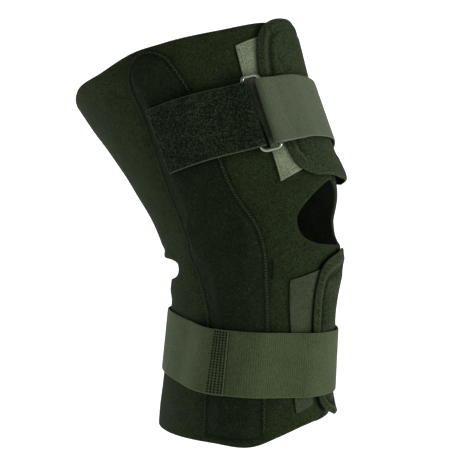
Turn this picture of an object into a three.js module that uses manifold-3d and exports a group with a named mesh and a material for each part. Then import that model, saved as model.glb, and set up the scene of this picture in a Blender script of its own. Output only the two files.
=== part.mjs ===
// A wrap-round hinged knee brace, closed in the shape it has on a slightly bent right knee.
// Millimetres, +Z up. The origin is the knee's centre, -Y is the front and -X the wearer's outer side.
// Every layer is placed by three numbers: its height along the leg above the knee's centre, its angle
// round the leg from the front (positive towards the outer side), and its lift off the sleeve's face.

import * as THREE from "three";
import { mergeVertices } from "three/addons/utils/BufferGeometryUtils.js";
import Module from "manifold-3d";

const wasm = await Module();
wasm.setup();

const DEGREE = Math.PI / 180;
const FULL_TURN = 360;

// The leg's size over the sleeve, and how far the sleeve reaches along each limb.
const calf = { reach: 155, depth: 134, breadth: 120, lean: -3.4 };
const knee = { depth: 148, breadth: 124, bendRadius: 110 };
const thigh = { reach: 152, depth: 178, breadth: 158, lean: 26.5, sideShift: 16 };

const gap = 0.55;
const sleeveThickness = 3.5;
const flapThickness = 2.8;
const hookThickness = 0.9;
const pocketThickness = 1.6;
const elasticThickness = 1.6;
const pileThickness = 2;

// Each strap's height is a share of the limb's reach, and it rises towards the back of the leg.
const strapWidth = 48;
const strapSlope = 0.35;
const upperStrap = { reachShare: 0.408, rise: 16.5, riseAngles: [25, 115], pathAngles: [-135, 130] };
const lowerStrap = { reachShare: -0.59, rise: 6.5, riseAngles: [75, 145], pathAngles: [-140, 300] };

const closureAngle = -11;
const closureGap = 1.6;
const patella = { angle: -8, halfAngle: 39, height: 1, up: 16, down: 13.5, upPower: 1.35, downPower: 3 };
const popliteal = {
  angle: 180, halfAngle: 58, height: -22.5, up: 11, down: 15.5, upPower: 2, downPower: 3.5,
};

const hook = { innerAngle: 8, openingMargin: 8.5, calfOpeningMargin: 16, rimMargin: 14, endSkew: 6 };
const flap = { overhang: 5, calfOverhang: 3, openingMargin: 1.3, endLift: 4, flare: 7.5 };

const hinge = { thickness: 2.6, barWidth: 16, hubRadius: 19, endMargin: 14 };
const pocket = { reachShare: 0.908, topRadius: 15, rimMargin: 3, seamMargin: 4, bulgeMargin: 1 };

const ring = { wireRadius: 1.5, sideClearance: 2, barSpacing: 11.6, cornerRadius: 3.4, rearAngle: 41.5 };
const pileAnchorLength = 62;
const pileFreeLength = 67;
const elasticReturnLength = 22;
const elasticLength = 186;
const rearBand = { frontEnd: 72, farEnd: 272 };
const frontBand = { rearEnd: 84, farEnd: -122 };

// Cross-sections of the leg over the sleeve. along is a share of the limb's reach, below the knee
// negative. front and back are shares of the limb's depth, outer and inner of its breadth, and
// shift is a share of the thigh's lean towards the outer side.
const legSections = [
  { limb: calf, along: -1.03, front: 0.521, back: 0.553, outer: 0.525, inner: 0.525, shift: 0 },
  { limb: calf, along: -0.77, front: 0.475, back: 0.53, outer: 0.517, inner: 0.517, shift: 0 },
  { limb: calf, along: -0.52, front: 0.477, back: 0.518, outer: 0.483, inner: 0.487, shift: 0 },
  { limb: calf, along: -0.26, front: 0.485, back: 0.511, outer: 0.483, inner: 0.493, shift: 0 },
  { limb: knee, along: 0, front: 0.493, back: 0.507, outer: 0.5, inner: 0.5, shift: 0 },
  { limb: thigh, along: 0.26, front: 0.478, back: 0.399, outer: 0.43, inner: 0.411, shift: 0.25 },
  { limb: thigh, along: 0.53, front: 0.504, back: 0.416, outer: 0.468, inner: 0.449, shift: 0.5 },
  { limb: thigh, along: 0.79, front: 0.546, back: 0.461, outer: 0.5, inner: 0.481, shift: 0.75 },
  { limb: thigh, along: 1.05, front: 0.575, back: 0.506, outer: 0.525, inner: 0.506, shift: 1 },
];

// Edges of the sleeve, as shares of the reach over each limb.
const topRim = [
  { angle: -180, along: 1 },
  { angle: -120, along: 0.97 },
  { angle: -77, along: 0.925 },
  { angle: -30, along: 0.85 },
  { angle: 9, along: 0.855 },
  { angle: 38, along: 0.853 },
  { angle: 66, along: 0.9 },
  { angle: 80, along: 0.932 },
  { angle: 101, along: 0.952 },
  { angle: 126, along: 1.003 },
  { angle: 180, along: 1 },
];
const bottomRim = [
  { angle: -180, along: -0.995 },
  { angle: -120, along: -0.99 },
  { angle: -70, along: -0.985 },
  { angle: -45, along: -0.915 },
  { angle: -25, along: -0.85 },
  { angle: -10, along: -0.84 },
  { angle: 5, along: -0.872 },
  { angle: 20, along: -0.893 },
  { angle: 37, along: -0.933 },
  { angle: 52, along: -0.976 },
  { angle: 62, along: -0.988 },
  { angle: 80, along: -0.983 },
  { angle: 113, along: -0.99 },
  { angle: 180, along: -0.995 },
];

// Flap outlines. along is a share of the flap's own length, from its lower end up. near is the edge
// on the outer side of the closure and far the edge on its inner side.
const upperFlapRows = [
  { along: 0, near: 13, far: -40 },
  { along: 0.016, near: 20, far: -45 },
  { along: 0.042, near: 24.6, far: -48 },
  { along: 0.075, near: 27.4, far: -49 },
  { along: 0.15, near: 29, far: -50 },
  { along: 0.36, near: 30, far: -51 },
  { along: 0.61, near: 28.6, far: -50 },
  { along: 0.72, near: 26.7, far: -48 },
  { along: 0.82, near: 23.9, far: -45 },
  { along: 0.895, near: 20.2, far: -42.5 },
  { along: 0.948, near: 14, far: -39 },
  { along: 0.982, near: 5, far: -34 },
  { along: 1, near: -7, far: -27 },
];
const lowerFlapRows = [
  { along: 0, near: -12, far: -24 },
  { along: 0.035, near: -4, far: -31 },
  { along: 0.08, near: 1, far: -35 },
  { along: 0.14, near: 4, far: -38 },
  { along: 0.22, near: 7.5, far: -40 },
  { along: 0.38, near: 12, far: -43 },
  { along: 0.56, near: 14.2, far: -45 },
  { along: 0.76, near: 15, far: -45 },
  { along: 0.87, near: 14.8, far: -45 },
  { along: 0.925, near: 12.5, far: -44.5 },
  { along: 0.96, near: 6, far: -43 },
  { along: 0.985, near: -6, far: -39 },
  { along: 1, near: -17, far: -33 },
];
const upperHookEdge = [
  { along: 0, angle: 38.2 },
  { along: 0.6, angle: 37.6 },
  { along: 1, angle: 35.2 },
];
const lowerHookEdge = [
  { along: 0, angle: 23.4 },
  { along: 0.6, angle: 31.6 },
  { along: 1, angle: 36 },
];

// Edges of the hinge pocket on the outer side. along is a share of the reach over each limb.
const pocketRows = [
  { along: -1.032, front: 47, rear: 87 },
  { along: -0.89, front: 45.5, rear: 87 },
  { along: -0.645, front: 45.5, rear: 88 },
  { along: -0.387, front: 47.6, rear: 91.5 },
  { along: -0.29, front: 48.6, rear: 95 },
  { along: -0.194, front: 50.6, rear: 99.5 },
  { along: -0.097, front: 52.4, rear: 105.3 },
  { along: 0, front: 56, rear: 104.8 },
  { along: 0.079, front: 61.6, rear: 104.4 },
  { along: 0.164, front: 64.8, rear: 103.2 },
  { along: 0.296, front: 64.2, rear: 100.5 },
  { along: 0.493, front: 62.6, rear: 94.5 },
  { along: 0.658, front: 63.2, rear: 90.4 },
  { along: 0.776, front: 65.1, rear: 89.2 },
  { along: 0.908, front: 68, rear: 86 },
];

const matte = (color, roughness) => new THREE.MeshStandardMaterial({ color, roughness, metalness: 0 });
const neoprene = matte(0x1b2117, 0.95);
const pocketKnit = matte(0x161b13, 0.92);
const hookTape = matte(0x6a735d, 0.9);
const elastic = matte(0x565f4a, 0.85);
const pile = matte(0x1c2218, 1);
const steel = new THREE.MeshStandardMaterial({ color: 0xb9bdb2, roughness: 0.25, metalness: 1 });

const clamp = (x, low, high) => Math.min(Math.max(x, low), high);
const smooth = (x) => clamp(x, 0, 1) ** 2 * (3 - 2 * clamp(x, 0, 1));
const mix = (a, b, share) => a + (b - a) * share;

// The value of one column of a table between its rows, on a smooth curve through them.
function curve(rows, key, column) {
  const slopeAt = (i) => {
    const before = rows[Math.max(i - 1, 0)];
    const after = rows[Math.min(i + 1, rows.length - 1)];
    return (after[column] - before[column]) / (after[key] - before[key]);
  };
  return (wanted) => {
    const x = clamp(wanted, rows[0][key], rows[rows.length - 1][key]);
    let i = 0;
    while (i < rows.length - 2 && rows[i + 1][key] < x) i += 1;
    const width = rows[i + 1][key] - rows[i][key];
    const t = (x - rows[i][key]) / width;
    const start = (2 * t ** 3 - 3 * t * t + 1) * rows[i][column];
    const end = (3 * t * t - 2 * t ** 3) * rows[i + 1][column];
    const leaving = (t ** 3 - 2 * t * t + t) * width * slopeAt(i);
    const arriving = (t ** 3 - t * t) * width * slopeAt(i + 1);
    return start + end + leaving + arriving;
  };
}

const heightOf = (share) => share * (share < 0 ? calf.reach : thigh.reach);
const turned = (angle) => angle - FULL_TURN * Math.round(angle / FULL_TURN);

const sections = legSections.map((row) => ({
  height: heightOf(row.along),
  front: row.front * row.limb.depth,
  back: row.back * row.limb.depth,
  outer: row.outer * row.limb.breadth,
  inner: row.inner * row.limb.breadth,
  shift: row.shift * thigh.sideShift,
}));
const section = {};
for (const column of ["front", "back", "outer", "inner", "shift"]) {
  section[column] = curve(sections, "height", column);
}

const topRimShare = curve(topRim, "angle", "along");
const bottomRimShare = curve(bottomRim, "angle", "along");
const topRimHeight = (angle) => topRimShare(turned(angle)) * thigh.reach;
const bottomRimHeight = (angle) => bottomRimShare(turned(angle)) * calf.reach;

// The leg's middle line: a straight calf, an arc through the knee's centre and a straight thigh.
function middleLine(height) {
  const middleLean = ((thigh.lean + calf.lean) / 2) * DEGREE;
  const halfBend = ((thigh.lean - calf.lean) / 2) * DEGREE;
  const turn = clamp(height / knee.bendRadius, -halfBend, halfBend);
  const lean = middleLean + turn;
  const rest = height - turn * knee.bendRadius;
  return {
    lean,
    y: knee.bendRadius * (Math.cos(middleLean) - Math.cos(lean)) + rest * Math.sin(lean),
    z: knee.bendRadius * (Math.sin(lean) - Math.sin(middleLean)) + rest * Math.cos(lean),
  };
}

function bareSurface(height, angle) {
  const middle = middleLine(height);
  const c = Math.cos(angle * DEGREE);
  const s = Math.sin(angle * DEGREE);
  const forward = c * (c > 0 ? section.front(height) : section.back(height));
  const sideways = s * (s > 0 ? section.outer(height) : section.inner(height));
  return new THREE.Vector3(
    -section.shift(height) - sideways,
    middle.y - forward * Math.cos(middle.lean),
    middle.z + forward * Math.sin(middle.lean),
  );
}

const angleStep = 0.5;
const heightStep = 0.5;

function acrossAt(height, angle) {
  const after = bareSurface(height, angle + angleStep);
  return after.sub(bareSurface(height, angle - angleStep)).divideScalar(2 * angleStep);
}

const millimetresPerDegree = (height, angle) => acrossAt(height, angle).length();

// The point at a height and angle, lifted off the sleeve's outer face.
function at(height, angle, lift) {
  const across = acrossAt(height, angle);
  const along = bareSurface(height + heightStep, angle).sub(bareSurface(height - heightStep, angle));
  const outward = along.cross(across).normalize();
  return bareSurface(height, angle).addScaledVector(outward, lift);
}

function geometryOf(positions, faces) {
  const geometry = new THREE.BufferGeometry();
  const numbers = positions.flatMap((point) => point.toArray());
  geometry.setAttribute("position", new THREE.Float32BufferAttribute(numbers, 3));
  geometry.setIndex(facingOut(positions, faces));
  return geometry;
}

// Turns every face round if the solid is inside out.
function facingOut(positions, faces) {
  let volume = 0;
  for (let i = 0; i < faces.length; i += 3) {
    const [a, b, c] = [positions[faces[i]], positions[faces[i + 1]], positions[faces[i + 2]]];
    volume += a.dot(new THREE.Vector3().crossVectors(b, c));
  }
  return volume < 0 ? faces.slice().reverse() : faces;
}

// Evenly spaced places from one end of a stretch to the other.
function placesBetween(from, to, spacing) {
  const count = Math.max(1, Math.round(Math.abs(to - from) / spacing));
  return Array.from({ length: count + 1 }, (_, i) => mix(from, to, i / count));
}

// A closed wall over a grid. place(u, v, side) gives its underside at side 0 and its top at side 1.
function wall(rows, columns, place) {
  const positions = [];
  const across = columns + 1;
  const layer = across * (rows + 1);
  for (const side of [0, 1]) {
    for (let i = 0; i <= rows; i += 1) {
      for (let j = 0; j <= columns; j += 1) positions.push(place(i / rows, j / columns, side));
    }
  }
  const faces = [];
  const quad = (a, b, c, d) => faces.push(a, b, c, a, c, d);
  for (let i = 0; i < rows; i += 1) {
    for (let j = 0; j < columns; j += 1) {
      const k = i * across + j;
      quad(k, k + 1, k + across + 1, k + across);
      quad(layer + k, layer + k + across, layer + k + across + 1, layer + k + 1);
    }
  }
  for (let j = 0; j < columns; j += 1) {
    const end = rows * across + j;
    quad(j, layer + j, layer + j + 1, j + 1);
    quad(end, end + 1, layer + end + 1, layer + end);
  }
  for (let i = 0; i < rows; i += 1) {
    const left = i * across;
    const right = left + columns;
    quad(left, left + across, layer + left + across, layer + left);
    quad(right, layer + right, layer + right + across, right + across);
  }
  return geometryOf(positions, faces);
}

function solidOf(geometry) {
  const bare = new THREE.BufferGeometry();
  bare.setAttribute("position", geometry.getAttribute("position"));
  bare.setIndex(geometry.getIndex());
  const merged = mergeVertices(bare, 1e-4);
  const vertProperties = new Float32Array(merged.getAttribute("position").array);
  const triVerts = new Uint32Array(merged.getIndex().array);
  return new wasm.Manifold(new wasm.Mesh({ numProp: 3, vertProperties, triVerts }));
}

function cut(geometry, ...cutters) {
  const left = cutters.reduce((solid, cutter) => solid.subtract(solidOf(cutter)), solidOf(geometry));
  const mesh = left.getMesh();
  const made = new THREE.BufferGeometry();
  made.setAttribute("position", new THREE.BufferAttribute(mesh.vertProperties, 3));
  made.setIndex(Array.from(mesh.triVerts));
  return made;
}

// A plug of the opening's outline, through the sleeve from outside to inside.
const plugLift = 8;
const plugColumns = 20;
function openingPlug(opening) {
  return wall(6, plugColumns, (u, v, side) => {
    const round = -Math.cos(mix(0.02, 0.98, v) * Math.PI);
    const rise = (power) => (1 - Math.abs(round) ** power) ** (1 / power);
    const top = opening.up * rise(opening.upPower);
    const bottom = -opening.down * rise(opening.downPower);
    const height = opening.height + mix(bottom, top, u);
    return at(height, opening.angle + round * opening.halfAngle, side ? plugLift : -plugLift);
  });
}

const sleeveRows = 22;
const sleeveColumns = 40;
function makeSleeve() {
  const slit = closureGap / 2 / millimetresPerDegree(0, closureAngle);
  const body = wall(sleeveRows, sleeveColumns, (u, v, side) => {
    const angle = closureAngle + slit + v * (FULL_TURN - 2 * slit);
    const height = mix(bottomRimHeight(angle), topRimHeight(angle), u);
    return at(height, angle, side ? 0 : -sleeveThickness);
  });
  return cut(body, openingPlug(patella), openingPlug(popliteal));
}

// The pocket's outline on one side of the leg. Distances across it are measured from its middle.
const pocketEdges = pocketRows.map((row) => ({ ...row, height: heightOf(row.along) }));
const pocketFront = curve(pocketEdges, "height", "front");
const pocketRear = curve(pocketEdges, "height", "rear");
const sewnTo = { bottom: bottomRimHeight(65) + pocket.rimMargin, top: heightOf(pocket.reachShare) };
const hingeEnds = { bottom: sewnTo.bottom + hinge.endMargin, top: sewnTo.top - hinge.endMargin };

const hubMargin = 3;
const pocketMiddle = (height) => (pocketFront(height) + pocketRear(height)) / 2;

function pocketHalfWidth(height) {
  const scale = millimetresPerDegree(height, pocketMiddle(height));
  const straight = (scale * (pocketRear(height) - pocketFront(height))) / 2;
  const fromTop = clamp((sewnTo.top - height) / pocket.topRadius, 0, 1);
  return straight * Math.sqrt(Math.max(1 - (1 - fromTop) ** 2, 0.02));
}

function hingeHalfWidth(height) {
  const hub = Math.sqrt(Math.max(hinge.hubRadius ** 2 - height ** 2, 0));
  const end = Math.min(height - hingeEnds.bottom, hingeEnds.top - height);
  const radius = hinge.barWidth / 2;
  const rounded = Math.sqrt(Math.max(radius ** 2 - Math.max(radius - end, 0) ** 2, radius));
  return Math.max(Math.min(radius, rounded), hub);
}

function pocketAngle(height, across, side) {
  const scale = millimetresPerDegree(height, side * pocketMiddle(height));
  return side * (pocketMiddle(height) + across / scale);
}

// The pocket's profile across the leg: flat over the hinge, a slope on each side, then its sewn edges.
function pocketFlat(height) {
  const hub = Math.sqrt(Math.max((hinge.hubRadius + hubMargin) ** 2 - height ** 2, 0));
  return Math.max(hinge.barWidth / 2 + pocket.bulgeMargin, hub);
}

function pocketFoot(height) {
  return Math.max(pocketHalfWidth(height) - pocket.seamMargin, pocketFlat(height) + 1);
}

// How far the pocket's underside stands off the sleeve, over the hinge and beside it.
function pocketLift(height, across) {
  const slope = (Math.abs(across) - pocketFlat(height)) / (pocketFoot(height) - pocketFlat(height));
  const past = Math.max(hingeEnds.bottom - height, height - hingeEnds.top, 0);
  return gap + (hinge.thickness + gap) * (1 - clamp(slope, 0, 1)) * (1 - smooth(past / 9));
}

const sideRows = (bottom, top, ends) => [
  ...placesBetween(bottom, -31, 15),
  ...placesBetween(-24, 24, 6.5),
  ...placesBetween(31, top - ends[0], 15),
  ...ends.slice(1).map((below) => top - below),
];

function makePocket(side) {
  const rows = sideRows(sewnTo.bottom, sewnTo.top, [15, 10, 5, 1.5, 0]);
  const columns = 9;
  return wall(rows.length - 1, columns, (u, v, top) => {
    const height = rows[Math.round(u * (rows.length - 1))];
    const flat = pocketFlat(height);
    const edge = Math.max(pocketHalfWidth(height), pocketFoot(height) + 0.5);
    const steps = [flat * 0.2, flat * 0.6, flat, pocketFoot(height), edge];
    const step = Math.round(v * columns) - steps.length;
    const across = step < 0 ? -steps[-1 - step] : steps[step];
    const narrow = Math.min(pocketHalfWidth(height) / edge, 1);
    const lift = pocketLift(height, across) + (top ? pocketThickness : 0);
    const angle = pocketAngle(height, across * narrow, side);
    return at(Math.max(height, bottomRimHeight(angle) + pocket.rimMargin), angle, lift);
  });
}

function makeHinge(side) {
  const rows = sideRows(hingeEnds.bottom, hingeEnds.top, [8, 4, 1, 0]);
  return wall(rows.length - 1, 5, (u, v, top) => {
    const height = rows[Math.round(u * (rows.length - 1))];
    const across = (2 * v - 1) * hingeHalfWidth(height);
    return at(height, pocketAngle(height, across, side), gap + (top ? hinge.thickness : 0));
  });
}

// Heights of the closure's pieces, above and below the patella opening.
const openingTop = patella.height + patella.up;
const openingBottom = patella.height - patella.down;
const upperFlapSpan = {
  bottom: openingTop + flap.openingMargin,
  top: topRimHeight(closureAngle) + flap.overhang,
};
const lowerFlapSpan = {
  bottom: bottomRimHeight(closureAngle) - flap.calfOverhang,
  top: openingBottom - flap.openingMargin,
};
const hookAngle = 30;
const upperHookSpan = {
  bottom: openingTop - 7 + hook.openingMargin,
  top: topRimHeight(hookAngle) - hook.rimMargin,
};
const lowerHookSpan = {
  bottom: bottomRimHeight(hookAngle) + hook.rimMargin,
  top: openingBottom - hook.calfOpeningMargin,
};

const hookTop = gap + hookThickness;
const flapRamp = { from: -24, to: -4 };

// The upper flap's lower corner stands off towards the inner side. Its spans are shares of the flap.
const flareSpan = {
  startShare: 0.03,
  riseShare: 0.1,
  endShare: 0.175,
  fallShare: 0.11,
  angle: -33,
  angleSpread: 13,
};

function flapPiece(rows, span) {
  const near = curve(rows, "along", "near");
  const far = curve(rows, "along", "far");
  const share = (height) => (height - span.bottom) / (span.top - span.bottom);
  const endLift = (height) => {
    const towardsEnd = rows === lowerFlapRows ? 1 - share(height) / 0.14 : (share(height) - 0.9) / 0.5;
    return flap.endLift * clamp(towardsEnd, 0, 1) ** 2;
  };
  const flare = (height, angle) => {
    if (rows === lowerFlapRows) return 0;
    const { startShare, riseShare, endShare, fallShare, angleSpread } = flareSpan;
    const rising = smooth((share(height) + startShare) / riseShare);
    const falling = smooth((endShare - share(height)) / fallShare);
    return flap.flare * rising * falling * Math.exp(-(((angle - flareSpan.angle) / angleSpread) ** 2));
  };
  const underside = (height, angle) => {
    const overHook = smooth((angle - flapRamp.from) / (flapRamp.to - flapRamp.from));
    return gap + (hookThickness + gap) * overHook + endLift(height) + flare(height, angle);
  };
  const topAt = (height, angle) => {
    const along = share(height);
    const inside = along >= 0 && along <= 1 && angle <= near(along) && angle >= far(along);
    return inside ? underside(height, angle) + flapThickness : 0;
  };
  const make = () =>
    wall(18, 10, (u, v, top) => {
      const along = u < 0.5 ? 2 * u * u : 1 - 2 * (1 - u) ** 2;
      const height = mix(span.bottom, span.top, along);
      const angle = mix(far(along), near(along), v);
      return at(height, angle, underside(height, angle) + (top ? flapThickness : 0));
    });
  return { make, topAt };
}

// A strip of hook tape. Its ends climb towards its inner edge, square to the slant of the edge that shows.
function hookPiece(rows, span) {
  const edge = curve(rows, "along", "angle");
  const skew = (along, angle) => hook.endSkew * ((edge(along) - angle) / (edge(along) - hook.innerAngle));
  const topAt = (height, angle) => {
    const level = (height - span.bottom) / (span.top - span.bottom);
    const along = level - skew(level, angle) / (span.top - span.bottom);
    const inside = along >= 0 && along <= 1 && angle <= edge(along) && angle >= hook.innerAngle;
    return inside ? hookTop : 0;
  };
  const make = () =>
    wall(10, 4, (u, v, top) => {
      const angle = mix(hook.innerAngle, edge(u), v);
      const height = mix(span.bottom, span.top, u) + skew(u, angle);
      return at(height, angle, gap + (top ? hookThickness : 0));
    });
  return { make, topAt };
}

const upperFlap = flapPiece(upperFlapRows, upperFlapSpan);
const lowerFlap = flapPiece(lowerFlapRows, lowerFlapSpan);
const upperHook = hookPiece(upperHookEdge, upperHookSpan);
const lowerHook = hookPiece(lowerHookEdge, lowerHookSpan);

function pocketTopAt(height, angle) {
  const side = Math.sign(turned(angle));
  const scale = millimetresPerDegree(height, side * pocketMiddle(height));
  const across = (Math.abs(turned(angle)) - pocketMiddle(height)) * scale;
  const inside = height < sewnTo.top && Math.abs(across) < pocketHalfWidth(height);
  return inside ? pocketLift(height, across) + pocketThickness : 0;
}

// The top of whatever lies on the sleeve at a place, before the straps go on.
function coverAt(height, angle) {
  const flat = turned(angle);
  const pieces = [upperFlap, lowerFlap, upperHook, lowerHook];
  return Math.max(pocketTopAt(height, flat), ...pieces.map((piece) => piece.topAt(height, flat)));
}

// A strap's path round the leg: its middle line, with distances along it from startAngle.
const pathStep = 1.5;
function strapPath(heightAt, startAngle, endAngle) {
  const nodes = [];
  let angle = startAngle;
  let along = 0;
  while (angle <= endAngle) {
    const height = heightAt(angle);
    const scale = millimetresPerDegree(height, angle);
    const slope = (heightAt(angle + angleStep) - heightAt(angle - angleStep)) / (2 * angleStep * scale);
    nodes.push({ along, angle, height, scale, slope });
    angle += pathStep / scale;
    along += pathStep;
  }
  const read = {};
  for (const column of ["angle", "height", "scale", "slope"]) read[column] = curve(nodes, "along", column);
  const alongAt = curve(nodes, "angle", "along");
  const place = (along, across) => {
    const tilt = Math.atan(read.slope(along));
    const height = read.height(along) + across * Math.cos(tilt);
    return { height, angle: read.angle(along) - (across * Math.sin(tilt)) / read.scale(along) };
  };
  const onSleeve = (along, across, lift) => {
    const spot = place(along, across);
    return at(spot.height, spot.angle, lift);
  };
  const point = (along, across, lift) => {
    const low = onSleeve(along, -strapWidth / 2, lift);
    return low.lerp(onSleeve(along, strapWidth / 2, lift), across / strapWidth + 0.5);
  };
  const cover = (along) => {
    const outward = point(along, 0, 1).sub(point(along, 0, 0)).normalize();
    let highest = 0;
    for (let share = -0.5; share <= 0.501; share += 0.125) {
      const across = share * strapWidth;
      const spot = place(along, across);
      const bulge = onSleeve(along, across, 0).sub(point(along, across, 0)).dot(outward);
      highest = Math.max(highest, coverAt(spot.height, spot.angle) + bulge);
    }
    return highest + gap;
  };
  return { point, cover, alongAt, length: along - pathStep };
}

// The lowest line over some heights that climbs and falls no faster than the strap's slope.
const sampleStep = 1.5;
const flatMargin = 4.5;
function tautOver(heightAt, from, to) {
  const samples = [];
  for (let along = from - 30; along <= to + 30; along += sampleStep) {
    samples.push({ along, height: heightAt(along) });
  }
  return (along) => {
    let lift = 0;
    for (const sample of samples) {
      const away = Math.max(Math.abs(sample.along - along) - flatMargin, 0);
      lift = Math.max(lift, sample.height - strapSlope * away);
    }
    return lift;
  };
}

// A strap between two lines of the same length, its two faces. It lies straight across its width.
function strapSolid(path, inside, outside) {
  const last = inside.length - 1;
  return wall(last, 1, (u, v, side) => {
    const spot = (side ? outside : inside)[Math.round(u * last)];
    return path.point(spot.along, (v - 0.5) * strapWidth, spot.lift);
  });
}

const facetLength = 6.5;

// A lift read off straight facets between the places where the strap bends.
function faceted(lift, from, to) {
  const places = placesBetween(from, to, facetLength);
  const lifts = places.map(lift);
  return (along) => {
    const spot = clamp(((along - from) / (to - from)) * (places.length - 1), 0, places.length - 1);
    const before = Math.min(Math.floor(spot), places.length - 2);
    return mix(lifts[before], lifts[before + 1], spot - before);
  };
}

function plainStrap(path, lift, from, to) {
  const line = (extra) =>
    placesBetween(from, to, facetLength).map((along) => ({ along, lift: lift(along) + extra }));
  return strapSolid(path, line(0), line(elasticThickness));
}

// A strap folded back round a bar. way is 1 where both layers run towards larger angles, or -1.
const foldSides = 8;
const foldInside = ring.wireRadius + gap;
const foldClear = 1.2;
function foldedStrap(path, { barAlong, way, thickness, under, over, barLift, underLength, overLength }) {
  const arc = (radius) =>
    placesBetween(-90, -270, 180 / foldSides).map((turn) => ({
      along: barAlong + way * radius * Math.cos(turn * DEGREE),
      lift: barLift + radius * Math.sin(turn * DEGREE),
    }));
  const line = (from, to, lift, extra) =>
    placesBetween(from, to, facetLength).map((along) => ({
      along: barAlong + way * along,
      lift: lift(along) + extra,
    }));
  const face = (radius, underExtra, overExtra) => [
    ...line(underLength, foldClear, under, underExtra),
    ...arc(radius),
    ...line(foldClear, overLength, over, overExtra),
  ];
  return strapSolid(path, face(foldInside, thickness, 0), face(foldInside + thickness, 0, thickness));
}

// The layers of a folded strap: the under layer on what it covers, the over layer on both.
function foldedLayers(path, { barAlong, way, thickness, underLength, overLength }) {
  const cover = (along) => path.cover(barAlong + way * along);
  const under = faceted(tautOver(cover, 0, underLength), foldClear, underLength);
  const barLift = under(0) + thickness + foldInside;
  const barTop = barLift + foldInside;
  const stacked = (along) => {
    if (along > underLength + 2) return cover(along);
    return under(along) + thickness + gap;
  };
  const taut = tautOver(stacked, 0, overLength);
  const over = (along) => Math.max(taut(along), barTop - strapSlope * Math.max(along - 1.5, 0));
  return { under, over, barLift };
}

function pathOf({ reachShare, rise, riseAngles, pathAngles }) {
  const [from, to] = riseAngles;
  const risen = (angle) => smooth((Math.abs(turned(angle)) - from) / (to - from));
  return strapPath((angle) => heightOf(reachShare) + rise * risen(angle), ...pathAngles);
}
const upperPath = pathOf(upperStrap);
const lowerPath = pathOf(lowerStrap);

const rearBar = upperPath.alongAt(ring.rearAngle);
const frontBar = rearBar - ring.barSpacing;
const pileFold = {
  barAlong: rearBar,
  way: 1,
  thickness: pileThickness,
  underLength: pileAnchorLength,
  overLength: pileFreeLength,
};
const elasticFold = {
  barAlong: frontBar,
  way: -1,
  thickness: elasticThickness,
  underLength: elasticReturnLength,
  overLength: elasticLength,
};
const pileLayers = foldedLayers(upperPath, pileFold);
const elasticLayers = foldedLayers(upperPath, elasticFold);

const makePileStrap = () => foldedStrap(upperPath, { ...pileFold, ...pileLayers });
const makeUpperElastic = () => foldedStrap(upperPath, { ...elasticFold, ...elasticLayers });

// The wire ring: two long bars in the straps' folds, joined by two short ones.
const ringSides = 6;
const cornerSteps = 3;
function makeRing() {
  const half = strapWidth / 2 + ring.sideClearance + ring.wireRadius;
  const place = (long, short) => {
    const rear = upperPath.point(rearBar, long, pileLayers.barLift);
    const front = upperPath.point(frontBar, long, elasticLayers.barLift);
    return front.lerp(rear, short / ring.barSpacing + 0.5);
  };
  const radius = ring.cornerRadius;
  const stations = [];
  for (const [quarter, [long, short]] of [[1, 1], [-1, 1], [-1, -1], [1, -1]].entries()) {
    for (let step = 0; step <= cornerSteps; step += 1) {
      const turn = (quarter + step / cornerSteps) * 90 * DEGREE;
      const x = long * (half - radius) + radius * Math.cos(turn);
      const y = short * (ring.barSpacing / 2 - radius) + radius * Math.sin(turn);
      const point = place(x, y);
      const outward = place(x + Math.cos(turn), y + Math.sin(turn)).sub(point).normalize();
      const upward = place(x + 1, y).sub(point).cross(place(x, y + 1).sub(point)).normalize();
      stations.push({ point, outward, upward });
    }
  }
  const positions = stations.flatMap(({ point, outward, upward }) =>
    Array.from({ length: ringSides }, (_, i) => {
      const turn = (i / ringSides) * 2 * Math.PI;
      const spoke = outward.clone().multiplyScalar(Math.cos(turn)).addScaledVector(upward, Math.sin(turn));
      return point.clone().addScaledVector(spoke, ring.wireRadius);
    }),
  );
  const faces = [];
  for (let i = 0; i < stations.length; i += 1) {
    const next = (i + 1) % stations.length;
    for (let j = 0; j < ringSides; j += 1) {
      const beside = (j + 1) % ringSides;
      const [a, b] = [i * ringSides + j, i * ringSides + beside];
      const [c, d] = [next * ringSides + j, next * ringSides + beside];
      faces.push(a, b, d, a, d, c);
    }
  }
  return geometryOf(positions, faces);
}

// The lower strap is two bands. Each lies under the other at one end and over it at the other end.
const lap = {
  frontStart: lowerPath.alongAt(frontBand.farEnd),
  frontEnd: lowerPath.alongAt(frontBand.rearEnd),
  rearStart: lowerPath.alongAt(rearBand.frontEnd),
  rearEnd: lowerPath.alongAt(rearBand.farEnd),
  turn: lowerPath.alongAt(rearBand.farEnd) - lowerPath.alongAt(rearBand.farEnd - FULL_TURN),
};
const lowerCover = (along) => lowerPath.cover(along);
const frontUnder = faceted(tautOver(lowerCover, lap.frontStart, lap.frontEnd), lap.frontStart, lap.frontEnd);
const rearUnder = faceted(tautOver(lowerCover, lap.rearStart, lap.rearEnd), lap.rearStart, lap.rearEnd);
const frontOver = tautOver((along) => {
  const overRear = along <= lap.rearEnd - lap.turn + 2;
  return overRear ? rearUnder(along + lap.turn) + elasticThickness + gap : lowerCover(along);
}, lap.frontStart, lap.frontEnd);
const rearOver = tautOver((along) => {
  const overFront = along <= lap.frontEnd + 2;
  return overFront ? frontUnder(along) + elasticThickness + gap : lowerCover(along);
}, lap.rearStart, lap.rearEnd);

const brace = new THREE.Group();
function add(name, geometry, material) {
  const mesh = new THREE.Mesh(geometry, material);
  mesh.name = name;
  brace.add(mesh);
}

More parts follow.
